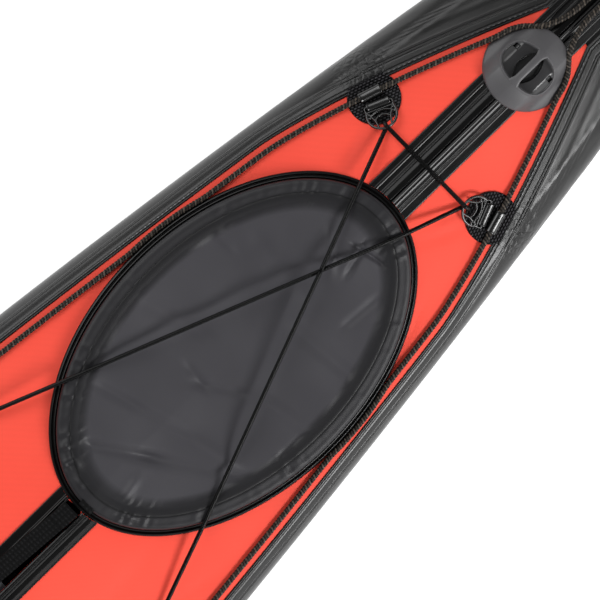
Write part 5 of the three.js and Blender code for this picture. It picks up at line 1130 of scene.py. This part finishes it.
def cover_points(fold):
    """The hatch cover as rings round its oval: a skirt up the collar's outside, the doubled hem over its
    top with a sewn line and pleats, and the panel, which sinks with the square of the distance from the
    hem. A fold is a Gaussian ridge or hollow beside the line between two places."""
    angle = np.linspace(0, 2 * np.pi, 396, endpoint=False)[:, None]
    hem_in, hem_up = HEM[:, 0] / 1000, HEM[:, 1] / 1000
    x, y = oval(angle, HATCH_X, HATCH_A - hem_in, HATCH_B - hem_in)
    gather = sum(np.sin(k * angle + p) * w for k, p, w in ((61, 0.4, 0.5), (87, 2.1, 0.6), (39, 4.4, 0.5),
                                                           (118, 1.3, 0.35)))
    gather = gather * (0.55 + 0.45 * np.sin(5 * angle + 1.0) * np.sin(2 * angle + 2.4)) * 0.0003
    for degrees, height, width in PLEATS:
        apart = (np.degrees(angle) - degrees + 180) % 360 - 180
        gather = gather + height / 600 * (hump(apart, 0, width) - 0.6 * hump(apart, 1.7 * width, width))
    rough_hem = fold * puckered(x, y) * smooth(0.0165, 0.024, hem_in)
    top = on_deck(x, y, hem_up + rough_hem + gather * hump(hem_in, 0.0215, 0.0075))

    share = np.linspace(1, 0, 98)[1:]
    edge_x, edge_y = oval(angle, HATCH_X, HATCH_A - hem_in[-1], HATCH_B - hem_in[-1])
    edge_z = deck_z(edge_x, edge_y) + hem_up[-1]
    centre_z = (deck_z(HATCH_X, HATCH_B) + deck_z(HATCH_FRONT, 0)) / 2 + 0.002
    px = HATCH_X + (edge_x - HATCH_X) * share
    py = edge_y * share
    pz = edge_z + (centre_z - edge_z) * (1 - share ** 2)
    wave = 0.22 * np.sin(px * 41 + py * 9 + 0.6) + 0.14 * np.sin(px * 67 - py * 23 + 1.9)
    wave = wave + 0.12 * np.sin(px * 23 + py * 48)
    for x0, y0, x1, y1, height, width in FOLDS:
        run_x, run_y = x1 - x0, y1 - y0
        long = math.hypot(run_x, run_y)
        along = ((px - x0) * run_x + (py - y0) * run_y) / long
        beyond = np.maximum(np.maximum(-along, along - long), 0)
        across = ((py - y0) * run_x - (px - x0) * run_y) / long
        wave = wave + height * hump(across, 0, width) * hump(beyond, 0, 0.012 + 0.06 * long)
    pz = pz + fold * (wave * smooth(0, 0.07, 1 - share) + puckered(px, py))
    pz = pz + gather * (1 - smooth(0.0, 0.09, 1 - share)) * 0.5
    points = np.concatenate([top, spots(px, py, pz)], 1)
    # The hem mark reaches six rings into the panel as a painted shadow band inside the hem.
    hem = np.concatenate([HEM[:, 2], np.interp(np.arange(len(share)), [0, 2, 6], [0.76, 0.62, 0])])
    return points, np.broadcast_to(hem, points.shape[:2])


class KAYAK_OT_hatch(bpy.types.Operator):
    """Makes the hatch rim and the cover stretched over it"""

    bl_idname = "kayak.hatch"
    bl_label = "Hatch"

    def execute(self, context):
        rim = ring_piece("hatch_rim_profile", HATCH_RIM, 110, 0.0003, HATCH_X, HATCH_A, HATCH_B, 2, 320)
        settle(rim, "rail", "boat", ("hatch_rim",))
        points, hem = cover_points(context.scene.kayak.fold_height)
        cover = grid("hatch_cover_cloth", points, wrap=(True, False), weld=True, angle=80, hem=hem)
        area = sheet_area(cover)
        thicken(cover, 0.0012)
        settle(cover, "cover", "hatch_lid", ("hatch_cover",))
        x, y = np.linspace(0.9405, 0.9485, 8)[:, None], np.linspace(-0.0165, 0.0045, 12)
        tab = grid("cover_pull_tab", on_deck(x, y, 0.0208 - 7 * (y + 0.006) ** 2))
        thicken(tab, 0.0016)
        settle(tab, "webbing", "hatch_lid", ())
        return {"FINISHED"}


class KAYAK_OT_cockpit(bpy.types.Operator):
    """Makes the cockpit coaming"""

    bl_idname = "kayak.cockpit"
    bl_label = "Coaming"

    def execute(self, context):
        rim = ring_piece("coaming_moulding", COAMING, 130, 0.0009, COCKPIT_X, COCKPIT_A, COCKPIT_B,
                         COCKPIT_POWER, 260, 0.018)
        settle(rim, "shell", "boat", ("cockpit_coaming",))
        return {"FINISHED"}


# Deck fittings

def tow_eye_top(dx, dy):
    """Height of the tow eye's dome over the deck: draped over the rails, then a parabola of its radius."""
    share = np.hypot(dx, dy) / TOW_RADIUS
    drape = 0.0116 * (1 - smooth(0.72 * RAIL_HALF, 1.25 * RAIL_HALF, np.abs(dy)))
    return drape + 0.002 + 0.014 * (1 - share ** 2)


def squared(wave, power):
    """A sine or cosine made squarer by a power under one."""
    return np.sign(wave) * np.abs(wave) ** power


def tow_eye(name, x0):
    """The moulded tow eye: a dome as rings, less a shallow bowl that rises outward to a raised lip, with a
    square notch at each outer end and a deep crescent slot on each side of the middle, and the finger bar,
    a rounded beam across the bowl. The slot narrows with the square of the distance from the middle."""
    angle = np.linspace(0, 2 * np.pi, 384, endpoint=False)
    share = [*np.linspace(0, 0.76, 108), *np.linspace(0.76, TOW_ROLL, 12)[1:], 0.978, 0.989, 0.996, 1.0]
    share = np.array(share)[:, None]
    dx = TOW_RADIUS * share * np.cos(angle)
    dy = TOW_RADIUS * share * np.sin(angle)
    along, out = np.abs(dx), np.abs(dy)
    roll = 1 - np.sqrt(np.maximum(1 - np.maximum(0, (share - TOW_ROLL) / (1 - TOW_ROLL)) ** 2, 0))
    e = ((along / 0.0262) ** 2.5 + (out / 0.0372) ** 2.5) ** 0.4
    bowl = 0.0075 * np.maximum(1 - np.minimum(e, 1) ** 2.6, 0) ** 0.55 * (1 - 0.3 * smooth(0.008, 0.036, out))
    bowl = bowl + 0.0016 * (1 - smooth(0.955, 1.0, e))
    slot_edge = 0.0052 + 0.0092 * (1 - np.minimum(along / 0.0235, 1) ** 2)
    slot = (1 - smooth(slot_edge - 0.0012, slot_edge + 0.0008, out)) * (1 - smooth(0.88, 0.97, e))
    lip = 0.0008 * hump(e, 1.045, 0.035)
    notch = 0.0045 * (1 - smooth(0.0028, 0.0034, np.abs(dx - 0.0105)))
    notch = notch * (1 - smooth(0.003, 0.0036, np.abs(out - 0.0298)))
    up = tow_eye_top(dx, dy) - 0.0016 * roll + lip - bowl - 0.0065 * slot - notch
    x = x0 + dx
    points = np.concatenate([on_deck(x, dy, up), on_deck(x[-1:], dy[-1:], -0.001)])
    # Painted shade: the bowl is marked for near-black shade, most in the slot beside the bar, and in the
    # notches.
    inside = (1 - smooth(0.94, 0.985, e)) * (0.78 + 0.22 * slot)
    hollow = np.concatenate([np.maximum(inside, (notch > 0.001) * 0.9), 0 * dx[-1:]])
    disc = grid(name, points, wrap=(False, True), weld=True, angle=60, hollow=hollow)

    reach = np.linspace(-0.0285, 0.0285, 60)
    turn = np.linspace(0, 2 * np.pi, 36, endpoint=False)
    wide = 0.0052 + 0.003 * smooth(0.018, 0.0285, np.abs(reach))
    across = wide[:, None] * squared(np.cos(turn), 0.7)
    middle = on_deck(x0 + reach, 0, tow_eye_top(reach, 0) - 0.0018)[:, None, :]
    away = spots(0, across, 0.0026 * squared(np.sin(turn), 0.7))
    beam = grid(name + "_bar", middle + away, away, (False, True), True, hollow=0 * across)
    return joined(name, [disc, beam])


def patch_base(name, place, side):
    """The patch's half-round base: rows across a circle, cut off straight outboard of the deck panel's
    seam, with the thick yarns of its webbing as a product of two sine waves, long ones laid like bricks
    along the bar."""
    x0, y0 = place
    t = -np.cos(np.linspace(0, np.pi, 120))[:, None]
    x = x0 + PATCH_RADIUS * t * 0.9995
    reach = PATCH_RADIUS * np.sqrt(np.maximum(1 - ((x - x0) / PATCH_RADIUS) ** 2, 0))
    low = y0 - reach
    wide = np.maximum(np.minimum(y0 + reach, seam_y(x) + 0.009) - low, 0.0004)
    v = np.linspace(0, 1, 100)
    y = low + wide * v
    edge = np.minimum(1, np.minimum(v, 1 - v) * wide / 0.0014)
    full = np.sqrt(np.minimum(edge, np.minimum(1, (1 - np.abs(t)) * PATCH_RADIUS / 0.0008)))
    # Yarns are 1.4 mm wide; modelled 3.4 mm apart and 5.6 mm long, so that they read.
    lean = math.radians(-18 if x0 > 0 else 18)
    along = (x - x0) * math.cos(lean) + (y - y0) * math.sin(lean)
    across = ((y - y0) * math.cos(lean) - (x - x0) * math.sin(lean)) / 0.0034
    laid = along / 0.0056 + 0.5 * (np.floor(across) % 2)
    yarn = np.abs(np.sin(np.pi * laid)) ** 0.6 * np.abs(np.sin(np.pi * across))
    points = on_deck(x, y, 0.0004 + (0.0017 + 0.0018 * yarn) * full) * [1, side, 1]
    # The crown mark carries the yarns' height to the webbing's painted highlight.
    return grid(name, points, uv=spots(x, y), crown=smooth(0.45, 0.95, yarn) * full)


def sleeve(name, frame, side, radius, length):
    """A tunnel of cloth over a cord or a bar: an arc carried along, flared where it meets the patch."""
    place, along, _, normal = (way * np.array([1, side, 1]) for way in frame)
    a = np.linspace(-0.35, np.pi + 0.35, 29)
    t = np.linspace(-length / 2, length / 2, 30)
    swell = radius * (1 + 0.09 * np.exp(-np.minimum(t + length / 2, length / 2 - t) / 0.0012))[:, None, None]
    middle = place + t[:, None, None] * along
    away = swell * (1.15 * squared(np.cos(a), 0.8)[:, None] * np.cross(normal, along)
                    + np.maximum(np.sin(a), -0.3)[:, None] * normal)
    return thicken(grid(name, middle + away, away), 0.0011, 0.0)


def ring_wire(name, ring, side, radius):
    """A D-ring of round wire: a wide bow, a flat rounded frame round the bar, two inner bars that dip
    toward it in a square curve, and on each side a strut out to the bow with an eyelet."""
    place, along, across, normal = ring_frame(ring, side)

    def wire(part, a, b, up, thickness, sides, step=0.0008, soften=0.0):
        """A wire through points at distances along the ring and across it."""
        a, b = np.broadcast_arrays(a, b)
        path = place + a[:, None] * along + b[:, None] * across + up * normal
        if step:
            path = resample(path, step, soften)
        return tube(name + part, path, radius * thickness, normal, sides, not step)

    turn = np.radians(np.linspace(-112, 112, 54))
    a = [0.0035, *(0.0152 + 0.0192 * np.cos(turn)), 0.0035]
    b = [-0.0188, *(0.0198 * np.sin(turn)), 0.0188]
    pieces = [wire("", a, b, 0, 1, 12, soften=0.001)]
    corners = [[-0.0005, -0.019], [0.0072, -0.019], [0.0072, 0.019], [-0.0005, 0.019], [-0.0005, -0.019]]
    a, b = resample(corners, 0.0006)[:-1].T
    a, b = resample(spots([*a[20:], *a[:21]], [*b[20:], *b[:21]]), 0.0006, 0.0012)[:-1].T
    pieces.append(wire("_frame", a, b, 0, 0.8, 10, None))
    for ends, dip, wide in ((0.0135, 0.0042, 0.015), (0.0205, 0.0048, 0.0105)):
        b = np.linspace(-wide, wide, 31)
        pieces.append(wire("_bar", ends - dip * (1 - (b / wide) ** 2), b, 0.0004, 0.72, 10))
    for end in (-1, 1):
        b = end * np.array([0.0175, 0.0143, 0.0105, 0.0085])
        pieces.append(wire("_strut", [0.0072, 0.0135, 0.0205, 0.0325], b, 0, 0.72, 10, soften=0.0015))
    turn = np.linspace(0, 2 * np.pi, 24, endpoint=False)
    for end in (-1, 1):
        a, b = 0.0128 + 0.0026 * np.cos(turn), end * 0.0168 + 0.0026 * np.sin(turn)
        pieces.append(wire("_eyelet", a, b, 0.0004, 0.66, 8, None))
    return joined(name, pieces)


def anchor_band(name, side):
    """A short webbing band over the rails at the end of the boat, raised over the two lines' ends."""
    y = np.array([-36, -33, -26, -20, -15, -12, -9, -6, -3, 0, 3, 6, 9, 12, 15, 20, 26, 33, 36]) / 1000
    hill = np.array([0, 0, 0, 2, 6.5, 8.6, 9.6, 8.8, 7.4, 7, 7.4, 8.8, 9.6, 8.6, 6.5, 2, 0, 0, 0]) / 1000
    x = side * ANCHOR_X + np.linspace(-0.017, 0.017, 12)[:, None]
    rail = RAIL_HEIGHT * 0.7 * (1 - smooth(0.026, 0.036, np.abs(y)))
    over = line_end_z() - 0.006 + hill + (deck_z(x, 0) - deck_z(ANCHOR_X, 0))
    band = grid(name + "_band", spots(x, y, np.maximum(deck_z(x, y) + 0.0012 + rail, over)))
    soft = band.modifiers.new("Soft", "SUBSURF")
    soft.levels = soft.render_levels = 2
    return thicken(band, 0.0016, 0.0)


class KAYAK_OT_fittings(bpy.types.Operator):
    """Makes the tow eyes, webbing patches, D-rings and line anchors"""

    bl_idname = "kayak.fittings"
    bl_label = "Deck fittings"

    def execute(self, context):
        for name, x in (("bow_tow_eye", TOW_X), ("stern_tow_eye", -TOW_X)):
            settle(tow_eye(name + "_moulding", x), "tow", "boat", (name,))
        wire = context.scene.kayak.ring_wire / 2
        for word, (x, y) in PATCHES.items():
            for tag, side in SIDES:
                node = f"{word}_{tag}_patch"
                base = patch_base(node + "_webbing", (x, y), side)
                line_y = float(line_plan(np.float64(x)))
                slope = float(seam_y(x + 0.001) - seam_y(x - 0.001)) / 0.002
                way = deck_frame(x, line_y, math.degrees(math.atan(slope)), 0)
                way[0][2] += line_rise(np.float64(x), line_y)
                covers = [sleeve(node + "_tunnel", way, side, 0.0058, 0.03)]
                if word in RINGS:
                    rx, ry, heading = RINGS[word]
                    way = deck_frame(rx, ry, heading + 90, RING_SEAT)
                    covers.append(sleeve(node + "_loop", way, side, 0.0044, 0.031))
                settle(base, "webbing", "boat", (node,))
                for piece in covers:
                    settle(piece, "plastic", "boat", ())
                if word in RINGS:
                    node = f"{word}_{tag}_d_ring"
                    ring = ring_wire(node + "_wire", RINGS[word], side, wire)
                    settle(ring, "plastic", "boat", (node,))
        for name, side in (("bow_line_anchor", 1), ("stern_line_anchor", -1)):
            settle(anchor_band(name, side), "webbing", "boat", (name,))
        return {"FINISHED"}


# Centre strap

def strap_place(x, up=0.0):
    """A point of the strap, which drifts to port between the hatch and the cockpit."""
    share = (HATCH_BACK - 0.014 - x) / (HATCH_BACK - COCKPIT_FRONT)
    y = STRAP_Y * np.interp(share, [0, 0.25, 0.34, 0.66, 1], [0.3, 0.85, 1, 1, 0.3])
    return [x, y, float(deck_z(x, 0)) + 0.56 * RAIL_TOP + 0.0009 + up]


class KAYAK_OT_straps(bpy.types.Operator):
    """Makes the centre strap's two lengths and finishes its buckle"""

    bl_idname = "kayak.straps"
    bl_label = "Centre strap"

    def execute(self, context):
        at = strap_place
        fold = 0.0021
        end = HATCH_BACK - 0.006
        low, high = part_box("buckle_plug")
        level = low.z + 0.0022
        front = [at(end - 0.026, fold), at(end - 0.012, fold * 1.3), at(end, fold),
                 at(end + 0.0012, fold / 2), at(end)]
        front += [at(x) for x in np.linspace(end - 0.01, PLUG_X + 0.06, 16)]
        front += [[PLUG_X + 0.03, STRAP_Y, level], [PLUG_X - 0.01, STRAP_Y, level]]
        low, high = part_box("buckle_socket")
        # The rear length wraps round the socket's bar at 7.5 mm, and its end is folded back and sewn.
        turn = np.radians(np.linspace(110, -110, 12))
        loop = spots(low.x + 0.002 - 0.0075 * np.cos(turn), STRAP_Y,
                     (low.z + high.z) / 2 + 0.0075 * np.sin(turn))
        last = COCKPIT_FRONT + 0.032
        rear = [*loop, *(at(x) for x in np.linspace(low.x - 0.03, last, 14))]
        rear += [at(last - 0.0012, fold / 2), at(last, fold), at(last + 0.013, fold * 1.3),
                 at(last + 0.026, fold)]
        w, t = 0.0125, 0.0009
        section = [[-w, 0], [-w, t], [0, t], [w, t], [w, -t], [0, -t], [-w, -t], [-w, 0]]
        section = resample(section, count=41, soften=0.0003)[:-1]
        for name, route in (("tension_strap_front", front), ("tension_strap_rear", rear)):
            path = resample(route, 0.0015, 0.0012)
            normal = unit(np.cross(np.gradient(path, axis=0), [0, 1.0, 0]))
            away = section[:, :1] * np.array([0, 1.0, 0]) + section[:, 1:] * normal[:, None, :]
            band = grid(name + "_webbing", path[:, None, :] + away, away, (False, True), True)
            settle(band, "webbing", "boat", (name,))
        dress("plastic", "buckle_socket", "buckle_plug")
        return {"FINISHED"}


# Side tubes, seat and frame

class KAYAK_OT_side_tubes(bpy.types.Operator):
    """Makes the inflatable side tubes and finishes their valves"""

    bl_idname = "kayak.side_tubes"
    bl_label = "Side tubes"

    def execute(self, context):
        places = np.linspace(-TUBE_END, TUBE_END, 160)
        x = np.concatenate([[-2.12, -2.105, -2.085], places, [2.085, 2.105, 2.12]])
        size = np.concatenate([[0.2, 0.62, 0.88], np.ones(len(places)), [0.88, 0.62, 0.2]])
        inside = np.clip(x, -TUBE_END, TUBE_END)
        # As thick as fits in the 30-degree facets of the solid hull, with 0.3 mm to spare
        radius = (((side_radius(inside) - SKIN) * math.cos(math.radians(15)) - 0.0003) * size)[:, None]
        angle = np.linspace(0, 2 * np.pi, 40, endpoint=False)
        for word, side in SIDES:
            middle = spots(x, (half_beam(inside) - side_radius(inside)) * side, sheer(inside))[:, None, :]
            away = spots(0, radius * np.cos(angle) * side, radius * np.sin(angle))
            skin = grid(word + "_air_tube_bladder", middle + away, away, (False, True), True)
            settle(skin, "air", "boat", (word + "_air_tube",))
            dress("shell", word + "_air_valve", word + "_valve_cap")
        return {"FINISHED"}


def bake_modifiers(piece):
    """Puts the piece's evaluated mesh in place of its own and takes its modifiers away."""
    seen = piece.evaluated_get(bpy.context.evaluated_depsgraph_get())
    mesh = bpy.data.meshes.new_from_object(seen)
    piece.modifiers.clear()
    piece.data = mesh


def vectors(points, key="co"):
    """One vector for each of a mesh's points."""
    flat = np.empty(len(points) * 3)
    points.foreach_get(key, flat)
    return flat.reshape(-1, 3)


def stuffed_pad(name):
    """A stuffed pad swollen from the solid by cloth simulation: the solid's mesh, drawn in a little and
    remeshed, is blown up from inside, and no point may end further than the growth from its start."""
    scene = bpy.context.scene
    pad = placed(name + "_pad", NODES[name].data.copy())
    pad.matrix_world = NODES[name].matrix_world
    merge(pad.data, 1e-5)
    even = pad.modifiers.new("Even", "REMESH")
    even.mode = "VOXEL"
    even.voxel_size = PAD_CELL
    pad.modifiers.new("Softer", "SMOOTH").iterations = 9
    bake_modifiers(pad)
    start = vectors(pad.data.vertices) - vectors(pad.data.vertices, "normal") * PAD_GROWTH * 0.6
    pad.data.vertices.foreach_set("co", start.ravel())
    cloth = pad.modifiers.new("Stuffing", "CLOTH")
    cloth.settings.use_pressure = True
    cloth.settings.uniform_pressure_force = 4.0
    cloth.settings.effector_weights.gravity = 0.0
    cloth.point_cache.frame_start, cloth.point_cache.frame_end = 1, PAD_FRAMES
    for step in range(1, PAD_FRAMES + 1):
        scene.frame_set(step)
    bake_modifiers(pad)
    scene.frame_set(1)
    move = vectors(pad.data.vertices) - start
    move *= np.minimum(1, PAD_GROWTH / np.maximum(np.linalg.norm(move, axis=1, keepdims=True), 1e-9))
    pad.data.vertices.foreach_set("co", (start + move).ravel())
    pad.data.update()
    finer = pad.modifiers.new("Finer", "SUBSURF")
    finer.levels = finer.render_levels = 1
    pad.data.polygons.foreach_set("use_smooth", np.ones(len(pad.data.polygons), bool))
    return pad


class KAYAK_OT_seat(bpy.types.Operator):
    """Makes the stuffed seat cushion and backrest by cloth simulation and finishes the seat board"""

    bl_idname = "kayak.seat"
    bl_label = "Seat"

    def execute(self, context):
        dress("board", "seat_board")
        for name, body in (("seat_cushion", "boat"), ("seat_backrest", "backrest")):
            pad = stuffed_pad(name)
            settle(pad, "padding", body, (name,))
        return {"FINISHED"}


class KAYAK_OT_frame_parts(bpy.types.Operator):
    """Finishes the frame's tubes, ribs, stem plates and foot rests"""

    bl_idname = "kayak.frame_parts"
    bl_label = "Frame"

    def execute(self, context):
        dress("metal", "keel_tube", "left_gunwale_tube", "right_gunwale_tube", "left_chine_tube",
              "right_chine_tube", "fore_ridge_tube", "aft_ridge_tube")
        dress("board", "fore_rib", "middle_rib", "aft_rib", "stern_rib", "bow_stem", "stern_stem")
        dress("shell", "left_foot_rail", "right_foot_rail", "left_foot_pedal", "right_foot_pedal")
        return {"FINISHED"}


STEPS = (KAYAK_OT_stage, KAYAK_OT_cords, KAYAK_OT_hull, KAYAK_OT_deck, KAYAK_OT_closures, KAYAK_OT_hatch,
         KAYAK_OT_cockpit, KAYAK_OT_fittings, KAYAK_OT_straps, KAYAK_OT_side_tubes, KAYAK_OT_seat,
         KAYAK_OT_frame_parts)


class KAYAK_PT_panel(bpy.types.Panel):
    """Lists the kayak's settings and steps"""

    bl_idname = "KAYAK_PT_panel"
    bl_label = "Kayak"
    bl_space_type = "VIEW_3D"
    bl_region_type = "UI"
    bl_category = "Kayak"

    def draw(self, context):
        for name in KayakSettings.__annotations__:
            self.layout.prop(context.scene.kayak, name)
        for step in STEPS:
            self.layout.operator(step.bl_idname)


def register():
    """Registers the classes and the scene's settings."""
    for made in (KayakSettings, *STEPS, KAYAK_PT_panel):
        bpy.utils.register_class(made)
    bpy.types.Scene.kayak = bpy.props.PointerProperty(type=KayakSettings)


def unregister():
    """Takes the classes and the settings away again."""
    del bpy.types.Scene.kayak
    for made in (KAYAK_PT_panel, *reversed(STEPS), KayakSettings):
        bpy.utils.unregister_class(made)


def main():
    """Builds the whole kayak."""
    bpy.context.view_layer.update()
    register()
    finishes()
    for step in STEPS:
        group, word = step.bl_idname.split(".")
        getattr(getattr(bpy.ops, group), word)()


if __name__ == "__main__":
    main()
